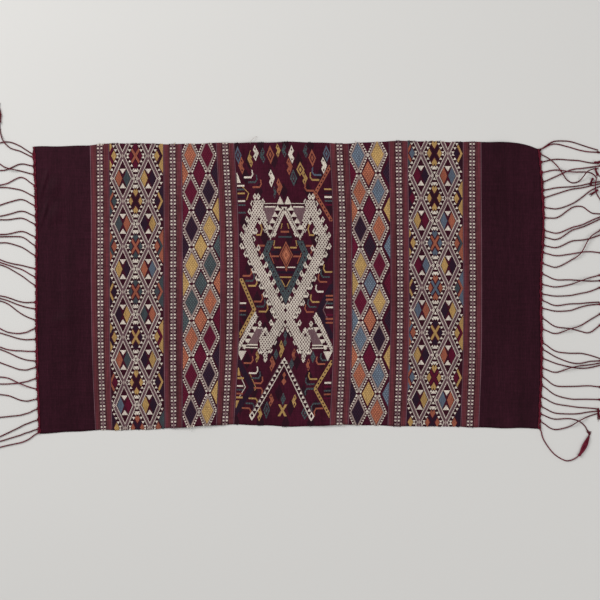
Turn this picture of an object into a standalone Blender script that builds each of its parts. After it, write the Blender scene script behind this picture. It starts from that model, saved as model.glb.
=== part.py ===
"""A hand-woven silk hanging, laid flat face up: one brocaded cloth with a fringe of plied strands at each end.

Units are metres in Blender and millimetres in the tables. +X runs along the cloth, +Y across it, +Z up.
The origin is the middle of the cloth's underside, on the surface that it lies on.
"""

import math
from collections import namedtuple

import bmesh
import bpy
from mathutils import Vector

MM = 0.001

# The cloth
HALF_LENGTH = 402.0
HALF_WIDTH = 228.0
CLOTH_THICKNESS = 1.2
CLOTH_CELLS_ALONG = 56
CLOTH_CELLS_ACROSS = 30

# How far the woven lines stray from a true rectangle. Each row is one line that runs across the cloth:
# its true place along X, its stray along X at five places from the top edge to the bottom edge,
# and the stray along Y of its top end and of its bottom end.
Stray = namedtuple("Stray", "along top upper middle lower bottom top_rise bottom_rise")
STRAYS = (
    Stray(-402.0, -4.0, 0.0, 0.0, 1.0, 5.0, -4.0, -6.0),
    Stray(-319.0, -2.0, 0.0, 0.0, 2.0, 7.0, -1.0, -2.0),
    Stray(-302.0, -1.0, 0.0, 0.0, 1.0, 5.0, 1.0, -1.0),
    Stray(-186.0, -1.0, 0.0, 0.0, 0.0, 1.0, 1.0, 2.0),
    Stray(-96.0, -6.0, 0.0, 2.0, 0.0, -6.0, 2.0, 8.0),
    Stray(0.0, -5.0, 0.0, 2.0, 0.0, -5.0, 4.0, 5.0),
    Stray(84.0, -4.0, 1.0, 2.0, 1.0, -4.0, 2.0, 7.0),
    Stray(174.0, -2.0, 0.0, 1.0, 0.0, -4.0, 5.0, 6.0),
    Stray(293.0, 0.0, 0.0, 1.0, 0.0, -4.0, 4.0, 4.0),
    Stray(402.0, -4.0, 3.0, -1.0, 0.0, -4.0, 2.0, 1.0),
)

# Soft ridges where the cloth stands off the surface: middle, heading, length, width and height of each.
Ridge = namedtuple("Ridge", "x y heading_deg length width height")
RIDGES = (
    Ridge(-374.0, 160.0, 67.0, 50.0, 11.0, 2.2),
    Ridge(-373.0, 116.0, 67.0, 54.0, 11.0, 2.2),
    Ridge(-362.0, -54.0, 12.0, 56.0, 11.0, 1.7),
    Ridge(-348.0, -30.0, 87.0, 330.0, 17.0, 1.6),
    Ridge(352.0, 62.0, 92.0, 320.0, 15.0, 2.4),
    Ridge(326.0, -118.0, 84.0, 190.0, 18.0, 1.8),
    Ridge(-245.0, 44.0, 95.0, 300.0, 24.0, 2.0),
    Ridge(236.0, -34.0, 86.0, 320.0, 24.0, 2.2),
    Ridge(-16.0, 150.0, 80.0, 150.0, 30.0, 2.4),
    Ridge(44.0, -146.0, 97.0, 150.0, 28.0, 2.2),
    Ridge(-150.0, -222.0, 5.0, 150.0, 20.0, 3.2),
    Ridge(70.0, -216.0, 0.0, 150.0, 18.0, 2.6),
    Ridge(-60.0, 226.0, 3.0, 180.0, 18.0, 3.0),
    Ridge(340.0, 222.0, -20.0, 80.0, 18.0, 3.4),
)
RIDGE_FLOOR = 0.3  # a swelling lower than this lies flat on the surface

# The fringes: a twined edging strip at each end of the cloth, and the strands that leave it
EDGE_GAP = 0.3
EDGE_WIDTH = 3.6
EDGE_THICKNESS = 2.2
EDGE_CELLS = 30
STRAND_SIDE = 2.0
STRAND_STEPS = 12
STRAND_ROOT_DEPTH = 1.8
ROOT_HEIGHT = 1.1
ROOT_BLEND = 20.0

# One row for each strand, from the top of the cloth to the bottom: its place along Y at each station,
# counted out from the edging strip; its level, where a higher one passes over those it crosses;
# and the length of the tuft past the knot that it ends in, or 0 where a neighbour carries the tuft.
STATIONS = (0.0, 20.0, 45.0, 60.0, 75.0, 92.0)
Strand = namedtuple("Strand", "at_0 at_20 at_45 at_60 at_75 at_92 level tuft")
LEFT_STRANDS = (
    Strand(197.0, 197.0, 187.0, 186.5, 187.0, 189.0, 0, 0.0),
    Strand(184.0, 185.5, 191.0, 200.0, 203.0, 203.0, 1, 26.0),
    Strand(166.0, 175.5, 165.0, 162.5, 161.5, 161.0, 0, 0.0),
    Strand(148.0, 154.5, 159.0, 159.0, 158.0, 157.5, 0, 24.0),
    Strand(133.5, 140.0, 134.5, 129.5, 127.0, 126.0, 0, 28.0),
    Strand(117.0, 121.5, 115.5, 112.5, 110.5, 109.5, 0, 0.0),
    Strand(104.0, 110.0, 107.5, 107.5, 106.5, 106.0, 0, 25.0),
    Strand(84.0, 89.0, 84.5, 84.0, 83.0, 81.5, 0, 26.0),
    Strand(69.5, 79.5, 80.5, 80.0, 79.0, 78.0, 0, 0.0),
    Strand(54.0, 63.0, 70.5, 70.0, 68.0, 67.0, 0, 24.0),
    Strand(34.0, 34.5, 39.5, 45.0, 48.0, 48.5, 0, 0.0),
    Strand(20.0, 27.5, 35.5, 40.5, 44.0, 45.0, 0, 27.0),
    Strand(6.5, 17.0, 31.5, 36.5, 40.0, 41.5, 0, 0.0),
    Strand(-19.0, -24.0, -16.5, -13.5, -12.0, -11.0, 0, 0.0),
    Strand(-30.0, -30.5, -21.5, -17.5, -15.5, -14.5, 0, 26.0),
    Strand(-48.0, -44.0, -26.5, -21.5, -19.0, -18.0, 0, 0.0),
    Strand(-60.0, -73.5, -72.0, -65.0, -63.5, -64.0, 0, 25.0),
    Strand(-78.0, -83.5, -77.0, -72.5, -69.0, -67.5, 0, 0.0),
    Strand(-97.5, -102.0, -100.0, -95.0, -92.0, -91.0, 0, 0.0),
    Strand(-113.0, -115.0, -104.5, -99.0, -95.5, -94.5, 0, 27.0),
    Strand(-122.5, -132.5, -125.5, -120.0, -115.0, -113.0, 0, 24.0),
    Strand(-140.0, -152.0, -155.0, -155.0, -153.0, -151.5, 0, 0.0),
    Strand(-158.0, -156.5, -146.0, -144.0, -145.5, -148.0, 1, 26.0),
    Strand(-173.0, -182.0, -174.0, -172.0, -171.0, -171.0, 0, 25.0),
    Strand(-188.5, -203.0, -207.0, -208.5, -210.0, -213.0, 0, 26.0),
    Strand(-206.0, -219.5, -232.0, -239.0, -244.5, -249.0, 0, 0.0),
    Strand(-220.5, -233.5, -242.0, -246.5, -250.0, -252.5, 0, 26.0),
    Strand(-230.0, -246.0, -252.5, -256.0, -262.0, -268.0, 0, 24.0),
)
RIGHT_STRANDS = (
    Strand(223.0, 232.5, 233.0, 229.0, 224.0, 219.0, 0, 0.0),
    Strand(217.0, 228.5, 224.0, 219.5, 216.5, 215.5, 0, 24.0),
    Strand(211.0, 199.0, 168.5, 168.5, 185.5, 190.0, 2, 0.0),
    Strand(197.5, 204.0, 203.0, 202.0, 199.0, 197.5, 0, 0.0),
    Strand(165.5, 176.5, 187.5, 189.5, 191.5, 194.0, 0, 26.0),
    Strand(152.5, 158.5, 160.5, 162.5, 166.0, 169.0, 0, 0.0),
    Strand(140.5, 149.0, 156.5, 158.5, 162.0, 165.5, 0, 25.0),
    Strand(125.5, 125.0, 133.5, 143.5, 155.0, 162.0, 0, 0.0),
    Strand(109.0, 111.0, 127.5, 128.5, 118.5, 117.0, 0, 0.0),
    Strand(89.0, 86.0, 95.5, 99.5, 106.5, 113.5, 0, 26.0),
    Strand(78.5, 76.0, 91.0, 95.5, 102.0, 110.0, 0, 0.0),
    Strand(65.0, 63.0, 73.5, 75.0, 78.0, 84.0, 0, 24.0),
    Strand(53.5, 50.0, 53.0, 55.5, 56.5, 54.5, 0, 25.0),
    Strand(36.5, 31.5, 43.0, 54.0, 79.5, 91.0, 1, 22.0),
    Strand(20.0, 12.0, 11.5, 10.5, 9.5, 10.0, 0, 26.0),
    Strand(3.0, 0.0, 4.0, 9.5, 14.5, 19.0, 1, 24.0),
    Strand(-12.5, -14.5, -13.5, -10.5, -7.5, -1.0, 0, 25.0),
    Strand(-22.0, -29.5, -27.0, -26.5, -25.0, -24.0, 0, 0.0),
    Strand(-35.0, -38.5, -37.5, -32.5, -29.0, -27.5, 0, 26.0),
    Strand(-50.0, -63.0, -66.5, -70.5, -73.0, -61.0, 0, 24.0),
    Strand(-68.0, -74.5, -66.5, -62.0, -53.0, -43.0, 1, 22.0),
    Strand(-89.5, -102.5, -106.0, -106.0, -109.0, -114.5, 0, 0.0),
    Strand(-100.5, -111.5, -121.0, -122.0, -119.0, -118.0, 0, 27.0),
    Strand(-115.0, -122.0, -128.0, -130.0, -129.0, -125.0, 0, 0.0),
    Strand(-130.5, -136.5, -129.0, -126.0, -124.5, -121.5, 1, 0.0),
    Strand(-143.5, -157.5, -159.0, -158.5, -158.0, -160.0, 0, 24.0),
    Strand(-157.5, -172.0, -179.0, -179.5, -179.5, -180.0, 0, 25.0),
    Strand(-176.0, -186.0, -190.5, -192.5, -193.5, -195.0, 0, 0.0),
    Strand(-191.5, -201.0, -203.0, -202.5, -200.0, -198.5, 0, 26.0),
    Strand(-215.0, -227.5, -223.5, -214.5, -207.5, -202.0, 1, 0.0),
)
OVER_HEIGHT = 2.7
OVER_FULL_WITHIN = 6.0
OVER_ENDS_AT = 18.0
TUFT_STEPS = 3
TUFT_SWELL = (1.35, 1.5, 1.0)

# The strands that wander past those stations: the line of (out, y) points from the edging to the end,
# the level, and the share of the line at which the thicker tuft begins, 1 for none.
Wanderer = namedtuple("Wanderer", "points level tuft_from")
LEFT_WANDERERS = (
    Wanderer(((0, 211), (27, 219), (36, 222), (45, 230), (50, 239), (53, 253), (54, 268), (54.5, 285)), 1, 0.78),
    Wanderer(((0, 216), (20, 225), (34, 231), (45, 232), (58, 230), (66, 235), (66, 243), (60, 250)), 0, 1.0),
)
RIGHT_WANDERERS = (
    Wanderer(((0, 181), (20, 187), (45, 184), (76, 183), (85, 175), (84, 161), (86, 150), (94, 138)), 1, 1.0),
    Wanderer(((0, -227), (5, -245), (20, -265), (34, -275), (45, -278), (60, -271), (71, -255), (77, -240)), 0, 0.75),
    Wanderer(((0, -204), (20, -211), (45, -210.5), (60, -214), (70, -222), (75, -231)), 0, 1.0),
)

MAROON = (0.036, 0.010, 0.017, 1.0)
RED = (0.110, 0.010, 0.018, 1.0)
SILK_ROUGHNESS = 0.62
YARN_ROUGHNESS = 0.7


def clear_scene():
    for obj in list(bpy.data.objects):
        bpy.data.objects.remove(obj, do_unlink=True)


def make_material(name, colour, roughness):
    material = bpy.data.materials.new(name)
    material.use_nodes = True
    shader = material.node_tree.nodes["Principled BSDF"]
    shader.inputs["Base Color"].default_value = colour
    shader.inputs["Roughness"].default_value = roughness
    shader.inputs["Metallic"].default_value = 0.0
    return material


def smooth_between(places, values, at):
    """The value at a place on a smooth curve through (places, values), level past both ends. Places rise."""
    if at <= places[0]:
        return values[0]
    if at >= places[-1]:
        return values[-1]
    last = len(places) - 1
    i = max(k for k in range(last) if places[k] <= at)

    def slope(k):
        low, high = max(k - 1, 0), min(k + 1, last)
        return (values[high] - values[low]) / (places[high] - places[low])

    span = places[i + 1] - places[i]
    f = (at - places[i]) / span
    rise = f * f * (3 - 2 * f)
    return (
        values[i] * (1 - rise)
        + values[i + 1] * rise
        + span * slope(i) * f * (1 - f) ** 2
        - span * slope(i + 1) * f * f * (1 - f)
    )


STRAY_PLACES = [row.along for row in STRAYS]
HEIGHT_PLACES = (-1.0, -0.5, 0.0, 0.5, 1.0)  # from the top edge to the bottom edge, in half widths


def plan(along, across):
    """Where a point of the flat rectangle lies on the surface, in millimetres."""
    share = across / HALF_WIDTH
    strays = [smooth_between(HEIGHT_PLACES, (r.top, r.upper, r.middle, r.lower, r.bottom), -share) for r in STRAYS]
    stray_x = smooth_between(STRAY_PLACES, strays, along)
    top = smooth_between(STRAY_PLACES, [r.top_rise for r in STRAYS], along)
    bottom = smooth_between(STRAY_PLACES, [r.bottom_rise for r in STRAYS], along)
    return along + stray_x, across + top * (1 + share) / 2 + bottom * (1 - share) / 2


def lift(x, y):
    """How high the cloth's underside stands off the surface at a place, in millimetres."""
    total = 0.0
    for mid_x, mid_y, heading, length, width, height in RIDGES:
        turn = math.radians(heading)
        dx, dy = x - mid_x, y - mid_y
        run = abs(dx * math.cos(turn) + dy * math.sin(turn)) / (length / 2)
        side = (-dx * math.sin(turn) + dy * math.cos(turn)) / width
        if run < 1:
            total += height * math.cos(run * math.pi / 2) ** 2 * math.exp(-side * side)
    return max(0.0, total - RIDGE_FLOOR)


def woven_sheet(name, collection, from_along, to_along, cells_along, cells_across, thickness, lifted):
    """A grid laid out by plan(), thickened upwards."""
    mesh = bpy.data.meshes.new(name)
    shape = bmesh.new()
    bmesh.ops.create_grid(shape, x_segments=cells_along, y_segments=cells_across, size=1.0)
    middle, half = (from_along + to_along) / 2, (to_along - from_along) / 2
    for vert in shape.verts:
        x, y = plan(middle + vert.co.x * half, vert.co.y * HALF_WIDTH)
        vert.co = Vector((x, y, lift(x, y) if lifted else 0.0)) * MM
    shape.to_mesh(mesh)
    shape.free()
    mesh.shade_smooth()
    mesh.set_sharp_from_angle(angle=math.radians(40))
    obj = bpy.data.objects.new(name, mesh)
    collection.objects.link(obj)
    solidify = obj.modifiers.new("thickness", "SOLIDIFY")
    solidify.thickness = thickness * MM
    solidify.offset = 1.0
    return obj


def edge_point(side, across):
    """The outer side of the edging strip at a height of the cloth, in millimetres."""
    return plan(side * (HALF_LENGTH + EDGE_GAP + EDGE_WIDTH), across)


def across_of(y):
    """The height on the flat rectangle whose edge lies at y. The strays there are small, so y nearly is it."""
    return max(-HALF_WIDTH + 2.0, min(HALF_WIDTH - 2.0, y))


def through(points, steps):
    """Points evenly spaced by chord along a smooth curve through the given (out, y) points."""
    runs = [0.0]
    for (out_a, y_a), (out_b, y_b) in zip(points, points[1:]):
        runs.append(runs[-1] + math.hypot(out_b - out_a, y_b - y_a))
    outs, ys = [p[0] for p in points], [p[1] for p in points]
    at = [runs[-1] * k / steps for k in range(steps + 1)]
    return [(smooth_between(runs, outs, a), smooth_between(runs, ys, a)) for a in at]


def crossing(start_a, end_a, start_b, end_b):
    """Where two flat line pieces cross, or None."""
    run_a = (end_a[0] - start_a[0], end_a[1] - start_a[1])
    run_b = (end_b[0] - start_b[0], end_b[1] - start_b[1])
    cross = run_a[0] * run_b[1] - run_a[1] * run_b[0]
    if abs(cross) < 1e-9:
        return None
    off = (start_b[0] - start_a[0], start_b[1] - start_a[1])
    share_a = (off[0] * run_b[1] - off[1] * run_b[0]) / cross
    share_b = (off[0] * run_a[1] - off[1] * run_a[0]) / cross
    if 0 <= share_a <= 1 and 0 <= share_b <= 1:
        return start_a[0] + run_a[0] * share_a, start_a[1] + run_a[1] * share_a
    return None


def places_over(line, level, others):
    """Where a strand passes over lower ones, and how high it stands there."""
    found = []
    for other, other_level in others:
        if other_level >= level:
            continue
        for start_a, end_a in zip(line, line[1:]):
            for start_b, end_b in zip(other, other[1:]):
                place = crossing(start_a, end_a, start_b, end_b)
                if place:
                    found.append((place, OVER_HEIGHT * (other_level + 1)))
    return found


def raised_at(point, overs):
    """How far a strand stands up at a point of its line."""
    highest = 0.0
    for place, height in overs:
        away = math.hypot(point[0] - place[0], point[1] - place[1])
        share = (OVER_ENDS_AT - away) / (OVER_ENDS_AT - OVER_FULL_WITHIN)
        share = max(0.0, min(1.0, share))
        highest = max(highest, height * share * share * (3 - 2 * share))
    return highest


def tuft_of(line, length):
    """The tuft past the knot, as further points straight on from a strand's end."""
    (out_a, y_a), (out_b, y_b) = line[-2], line[-1]
    step = length / TUFT_STEPS / math.hypot(out_b - out_a, y_b - y_a)
    return [(out_b + (out_b - out_a) * step * k, y_b + (y_b - y_a) * step * k) for k in range(1, TUFT_STEPS + 1)]


def all_lines(strands, wanderers):
    """Every strand as its flat line, its level and how much thicker than plain it is at each point."""
    rows = []
    for row in strands:
        ys = (row.at_0, row.at_20, row.at_45, row.at_60, row.at_75, row.at_92)
        line = through(list(zip(STATIONS, ys)), STRAND_STEPS)
        swells = [1.0] * len(line)
        if row.tuft:
            line = line + tuft_of(line, row.tuft)
            swells = swells + list(TUFT_SWELL)
        rows.append((line, row.level, swells))
    for points, level, tuft_from in wanderers:
        line = through(points, STRAND_STEPS + 2)
        swells = [TUFT_SWELL[1] if k > tuft_from * len(line) else 1.0 for k in range(len(line))]
        rows.append((line, level, swells))
    return rows


def strand_object(name, side, line, swells, raised, collection):
    """A square-sided tube that leaves the edging strip and lies on the surface along a line."""
    curve = bpy.data.curves.new(name, "CURVE")
    curve.dimensions = "3D"
    curve.twist_mode = "Z_UP"
    curve.bevel_depth = STRAND_SIDE / math.sqrt(2) * MM
    curve.bevel_resolution = 0
    curve.use_fill_caps = True
    root_y = line[0][1]
    edge_x, edge_y = edge_point(side, across_of(root_y))
    points = [(edge_x - side * STRAND_ROOT_DEPTH, edge_y, ROOT_HEIGHT)]
    for (out, y), swell, up in zip(line[1:], swells[1:], raised[1:]):
        blend = max(0.0, 1 - out / ROOT_BLEND)
        points.append((edge_x + side * out, y + (edge_y - root_y) * blend, STRAND_SIDE / 2 * swell + up))
    spline = curve.splines.new("POLY")
    spline.points.add(len(points) - 1)
    for place, point, swell in zip(spline.points, points, swells):
        place.co = (*(Vector(point) * MM), 1.0)
        place.tilt = math.radians(45)
        place.radius = swell
    obj = bpy.data.objects.new(name, curve)
    collection.objects.link(obj)
    return obj


def as_mesh(curve_object, collection):
    """The curve object's tube as a closed mesh object, in its place."""
    graph = bpy.context.evaluated_depsgraph_get()
    mesh = bpy.data.meshes.new_from_object(curve_object.evaluated_get(graph))
    shape = bmesh.new()
    shape.from_mesh(mesh)
    bmesh.ops.remove_doubles(shape, verts=shape.verts, dist=0.00001)
    bmesh.ops.recalc_face_normals(shape, faces=shape.faces)
    shape.to_mesh(mesh)
    shape.free()
    obj = bpy.data.objects.new(curve_object.name + "_mesh", mesh)
    obj.matrix_world = curve_object.matrix_world
    collection.objects.link(obj)
    bpy.data.objects.remove(curve_object)
    return obj


def strand_bundle(name, side, strands, wanderers, cutters):
    """All strands of one end as one helper object of closed tubes."""
    rows = all_lines(strands, wanderers)
    tubes = []
    for k, (line, level, swells) in enumerate(rows):
        others = [(other[0], other[1]) for n, other in enumerate(rows) if n != k]
        overs = places_over(line, level, others)
        raised = [raised_at(point, overs) for point in line]
        tubes.append(strand_object(f"{name}_{k}", side, line, swells, raised, cutters))
    bpy.context.view_layer.update()
    joined = bmesh.new()
    for tube in [as_mesh(tube, cutters) for tube in tubes]:
        joined.from_mesh(tube.data)
        bpy.data.objects.remove(tube)
    mesh = bpy.data.meshes.new(name)
    joined.to_mesh(mesh)
    joined.free()
    bundle = bpy.data.objects.new(name, mesh)
    bundle.hide_render = True
    bundle.display_type = "WIRE"
    cutters.objects.link(bundle)
    return bundle


def make_fringe(name, side, strands, wanderers, parts, cutters):
    """The edging strip with all strands of one end fused into it."""
    bundle = strand_bundle(name + "_strands", side, strands, wanderers, cutters)
    near, far = HALF_LENGTH + EDGE_GAP, HALF_LENGTH + EDGE_GAP + EDGE_WIDTH
    from_along, to_along = sorted((side * near, side * far))
    strip = woven_sheet(name, parts, from_along, to_along, 1, EDGE_CELLS, EDGE_THICKNESS, False)
    union = strip.modifiers.new("strands", "BOOLEAN")
    union.operation = "UNION"
    union.object = bundle
    return strip


def main():
    clear_scene()
    parts = bpy.data.collections.new("silk_hanging")
    cutters = bpy.data.collections.new("strand_helpers")
    for collection in (parts, cutters):
        bpy.context.scene.collection.children.link(collection)
    silk = make_material("maroon_silk", MAROON, SILK_ROUGHNESS)
    yarn = make_material("red_yarn", RED, YARN_ROUGHNESS)

    cloth = woven_sheet(
        "cloth", parts, -HALF_LENGTH, HALF_LENGTH, CLOTH_CELLS_ALONG, CLOTH_CELLS_ACROSS, CLOTH_THICKNESS, True
    )
    cloth.data.materials.append(silk)
    left = make_fringe("fringe_left", -1, LEFT_STRANDS, LEFT_WANDERERS, parts, cutters)
    right = make_fringe("fringe_right", 1, RIGHT_STRANDS, RIGHT_WANDERERS, parts, cutters)
    for fringe in (left, right):
        fringe.data.materials.append(yarn)


main()
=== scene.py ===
import math
import random
from collections import namedtuple

import bpy
import numpy as np
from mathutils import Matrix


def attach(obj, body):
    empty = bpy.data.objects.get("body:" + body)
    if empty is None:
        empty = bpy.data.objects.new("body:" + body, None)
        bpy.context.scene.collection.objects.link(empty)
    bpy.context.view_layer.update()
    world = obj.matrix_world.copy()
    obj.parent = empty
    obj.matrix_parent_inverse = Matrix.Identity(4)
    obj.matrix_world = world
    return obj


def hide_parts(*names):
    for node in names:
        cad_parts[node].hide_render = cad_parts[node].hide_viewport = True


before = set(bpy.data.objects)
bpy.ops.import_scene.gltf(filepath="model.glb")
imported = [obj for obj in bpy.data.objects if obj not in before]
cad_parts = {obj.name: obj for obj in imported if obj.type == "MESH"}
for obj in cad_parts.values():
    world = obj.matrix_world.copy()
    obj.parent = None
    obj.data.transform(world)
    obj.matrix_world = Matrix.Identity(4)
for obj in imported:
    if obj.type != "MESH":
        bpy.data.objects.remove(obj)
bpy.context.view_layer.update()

# The finish of a brocaded silk hanging. Tables are in millimetres or in chart steps of STEP millimetres.
# A place on the cloth is (u, v) on the flat rectangle: u along it, v across it, from its middle.
MM = 0.001
STEP = 1.6
SIDES = (-1, 1)
CORNERS = tuple((side, up) for side in SIDES for up in (1, -1))


def table(kind, rows):
    """The rows of a table with its named columns."""
    return [kind(*row) for row in rows]


# The cloth, as in the part's source
HALF_LENGTH = 402.0
HALF_WIDTH = 228.0
EDGE_GAP = 0.3
EDGE_WIDTH = 3.6
OUTER_EDGE = HALF_LENGTH + EDGE_GAP + EDGE_WIDTH

# How far the woven lines stray from a true rectangle, as in the part's source
Stray = namedtuple("Stray", "along top upper middle lower bottom top_rise bottom_rise")
STRAYS = table(Stray, (
    (-402, -4, 0, 0, 1, 5, -4, -6),
    (-319, -2, 0, 0, 2, 7, -1, -2),
    (-302, -1, 0, 0, 1, 5, 1, -1),
    (-186, -1, 0, 0, 0, 1, 1, 2),
    (-96, -6, 0, 2, 0, -6, 2, 8),
    (0, -5, 0, 2, 0, -5, 4, 5),
    (84, -4, 1, 2, 1, -4, 2, 7),
    (174, -2, 0, 1, 0, -4, 5, 6),
    (293, 0, 0, 1, 0, -4, 4, 4),
    (402, -4, 3, -1, 0, -4, 2, 1),
))

# Soft ridges, as in the part's source
Ridge = namedtuple("Ridge", "x y heading_deg length width height")
RIDGES = table(Ridge, (
    (-374, 160, 67, 50, 11, 2.2),
    (-373, 116, 67, 54, 11, 2.2),
    (-362, -54, 12, 56, 11, 1.7),
    (-348, -30, 87, 330, 17, 1.6),
    (352, 62, 92, 320, 15, 2.4),
    (326, -118, 84, 190, 18, 1.8),
    (-245, 44, 95, 300, 24, 2),
    (236, -34, 86, 320, 24, 2.2),
    (-16, 150, 80, 150, 30, 2.4),
    (44, -146, 97, 150, 28, 2.2),
    (-150, -222, 5, 150, 20, 3.2),
    (70, -216, 0, 150, 18, 2.6),
    (-60, 226, 3, 180, 18, 3),
    (340, 222, -20, 80, 18, 3.4),
))
RIDGE_FLOOR = 0.3

# Creases too fine for the solid, laid on top of its ridges. A height below 0 is a trough.
CREASES = table(Ridge, (
    (-391.4, 165, 73, 66, 2.4, 3.2),
    (-387.8, 165, 73, 62, 2.2, -1.6),
    (-391.2, 117, 71.6, 62, 2.4, 3.2),
    (-387.6, 117, 71.6, 58, 2.2, -1.6),
    (-376, 132, 64, 26, 2, -0.5),
    (-362, -52, 8, 50, 2.6, 0.5),
    (-356, 12, 92, 210, 4, 0.35),
    (-337, -80, 86, 240, 4.5, 0.3),
    (326.6, 124, 100, 76, 2.6, 1.3),
    (330.4, 124, 100, 70, 2.2, -0.9),
    (357, 128, 91, 190, 4, 0.5),
    (352, -60, 88, 230, 4.5, 0.4),
    (384, 20, 90, 300, 4, 0.35),
    (333, -150, 84, 130, 3.5, 0.45),
))

# The fringes, as in the part's source
STRAND_STEPS = 12
WANDERER_STEPS = 20
ROOT_HEIGHT = 1.1
ROOT_BLEND = 20.0
ROOT_INSET = 2.0
STATIONS = (0.0, 20.0, 45.0, 60.0, 75.0, 92.0)
Strand = namedtuple("Strand", "at_0 at_20 at_45 at_60 at_75 at_92 level tuft")
LEFT_STRANDS = table(Strand, (
    (197, 197, 187, 186.5, 187, 189, 0, 0),
    (184, 185.5, 191, 200, 203, 203, 1, 26),
    (166, 175.5, 165, 162.5, 161.5, 161, 0, 0),
    (148, 154.5, 159, 159, 158, 157.5, 0, 24),
    (133.5, 140, 134.5, 129.5, 127, 126, 0, 28),
    (117, 121.5, 115.5, 112.5, 110.5, 109.5, 0, 0),
    (104, 110, 107.5, 107.5, 106.5, 106, 0, 25),
    (84, 89, 84.5, 84, 83, 81.5, 0, 26),
    (69.5, 79.5, 80.5, 80, 79, 78, 0, 0),
    (54, 63, 70.5, 70, 68, 67, 0, 24),
    (34, 34.5, 39.5, 45, 48, 48.5, 0, 0),
    (20, 27.5, 35.5, 40.5, 44, 45, 0, 27),
    (6.5, 17, 31.5, 36.5, 40, 41.5, 0, 0),
    (-19, -24, -16.5, -13.5, -12, -11, 0, 0),
    (-30, -30.5, -21.5, -17.5, -15.5, -14.5, 0, 26),
    (-48, -44, -26.5, -21.5, -19, -18, 0, 0),
    (-60, -73.5, -72, -65, -63.5, -64, 0, 25),
    (-78, -83.5, -77, -72.5, -69, -67.5, 0, 0),
    (-97.5, -102, -100, -95, -92, -91, 0, 0),
    (-113, -115, -104.5, -99, -95.5, -94.5, 0, 27),
    (-122.5, -132.5, -125.5, -120, -115, -113, 0, 24),
    (-140, -152, -155, -155, -153, -151.5, 0, 0),
    (-158, -156.5, -146, -144, -145.5, -148, 1, 26),
    (-173, -182, -174, -172, -171, -171, 0, 25),
    (-188.5, -203, -207, -208.5, -210, -213, 0, 26),
    (-206, -219.5, -232, -239, -244.5, -249, 0, 0),
    (-220.5, -233.5, -242, -246.5, -250, -252.5, 0, 26),
    (-230, -246, -252.5, -256, -262, -268, 0, 24),
))
RIGHT_STRANDS = table(Strand, (
    (223, 232.5, 233, 229, 224, 219, 0, 0),
    (217, 228.5, 224, 219.5, 216.5, 215.5, 0, 24),
    (211, 199, 168.5, 168.5, 185.5, 190, 2, 0),
    (197.5, 204, 203, 202, 199, 197.5, 0, 0),
    (165.5, 176.5, 187.5, 189.5, 191.5, 194, 0, 26),
    (152.5, 158.5, 160.5, 162.5, 166, 169, 0, 0),
    (140.5, 149, 156.5, 158.5, 162, 165.5, 0, 25),
    (125.5, 125, 133.5, 143.5, 155, 162, 0, 0),
    (109, 111, 127.5, 128.5, 118.5, 117, 0, 0),
    (89, 86, 95.5, 99.5, 106.5, 113.5, 0, 26),
    (78.5, 76, 91, 95.5, 102, 110, 0, 0),
    (65, 63, 73.5, 75, 78, 84, 0, 24),
    (53.5, 50, 53, 55.5, 56.5, 54.5, 0, 25),
    (36.5, 31.5, 43, 54, 79.5, 91, 1, 22),
    (20, 12, 11.5, 10.5, 9.5, 10, 0, 26),
    (3, 0, 4, 9.5, 14.5, 19, 1, 24),
    (-12.5, -14.5, -13.5, -10.5, -7.5, -1, 0, 25),
    (-22, -29.5, -27, -26.5, -25, -24, 0, 0),
    (-35, -38.5, -37.5, -32.5, -29, -27.5, 0, 26),
    (-50, -63, -66.5, -70.5, -73, -61, 0, 24),
    (-68, -74.5, -66.5, -62, -53, -43, 1, 22),
    (-89.5, -102.5, -106, -106, -109, -114.5, 0, 0),
    (-100.5, -111.5, -121, -122, -119, -118, 0, 27),
    (-115, -122, -128, -130, -129, -125, 0, 0),
    (-130.5, -136.5, -129, -126, -124.5, -121.5, 1, 0),
    (-143.5, -157.5, -159, -158.5, -158, -160, 0, 24),
    (-157.5, -172, -179, -179.5, -179.5, -180, 0, 25),
    (-176, -186, -190.5, -192.5, -193.5, -195, 0, 0),
    (-191.5, -201, -203, -202.5, -200, -198.5, 0, 26),
    (-215, -227.5, -223.5, -214.5, -207.5, -202, 1, 0),
))
Wanderer = namedtuple("Wanderer", "points level tuft_from")
LEFT_WANDERERS = table(Wanderer, (
    (((0, 211), (27, 219), (36, 222), (45, 230), (50, 239), (53, 253), (54, 268), (54.5, 285)), 1, 0.78),
    (((0, 216), (20, 225), (34, 231), (45, 232), (58, 230), (66, 235), (66, 243), (60, 250)), 0, 1),
))
RIGHT_WANDERERS = table(Wanderer, (
    (((0, 181), (20, 187), (45, 184), (76, 183), (85, 175), (84, 161), (86, 150), (94, 138)), 1, 1),
    (((0, -227), (5, -245), (20, -265), (34, -275), (45, -278), (60, -271), (71, -255), (77, -240)),
     0, 0.75),
    (((0, -204), (20, -211), (45, -210.5), (60, -214), (70, -222), (75, -231)), 0, 1),
))
OVER_HEIGHT = 2.7
OVER_FULL_WITHIN = 6.0
OVER_ENDS_AT = 18.0

# Heights over the underside of the cloth, in millimetres
GROUND_TOP = 0.95
GROUND_THICKNESS = 0.8
FLOAT_RISE = 0.42
FLOAT_SUNK = 0.04  # how deep the ends of a float lie in the ground

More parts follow.
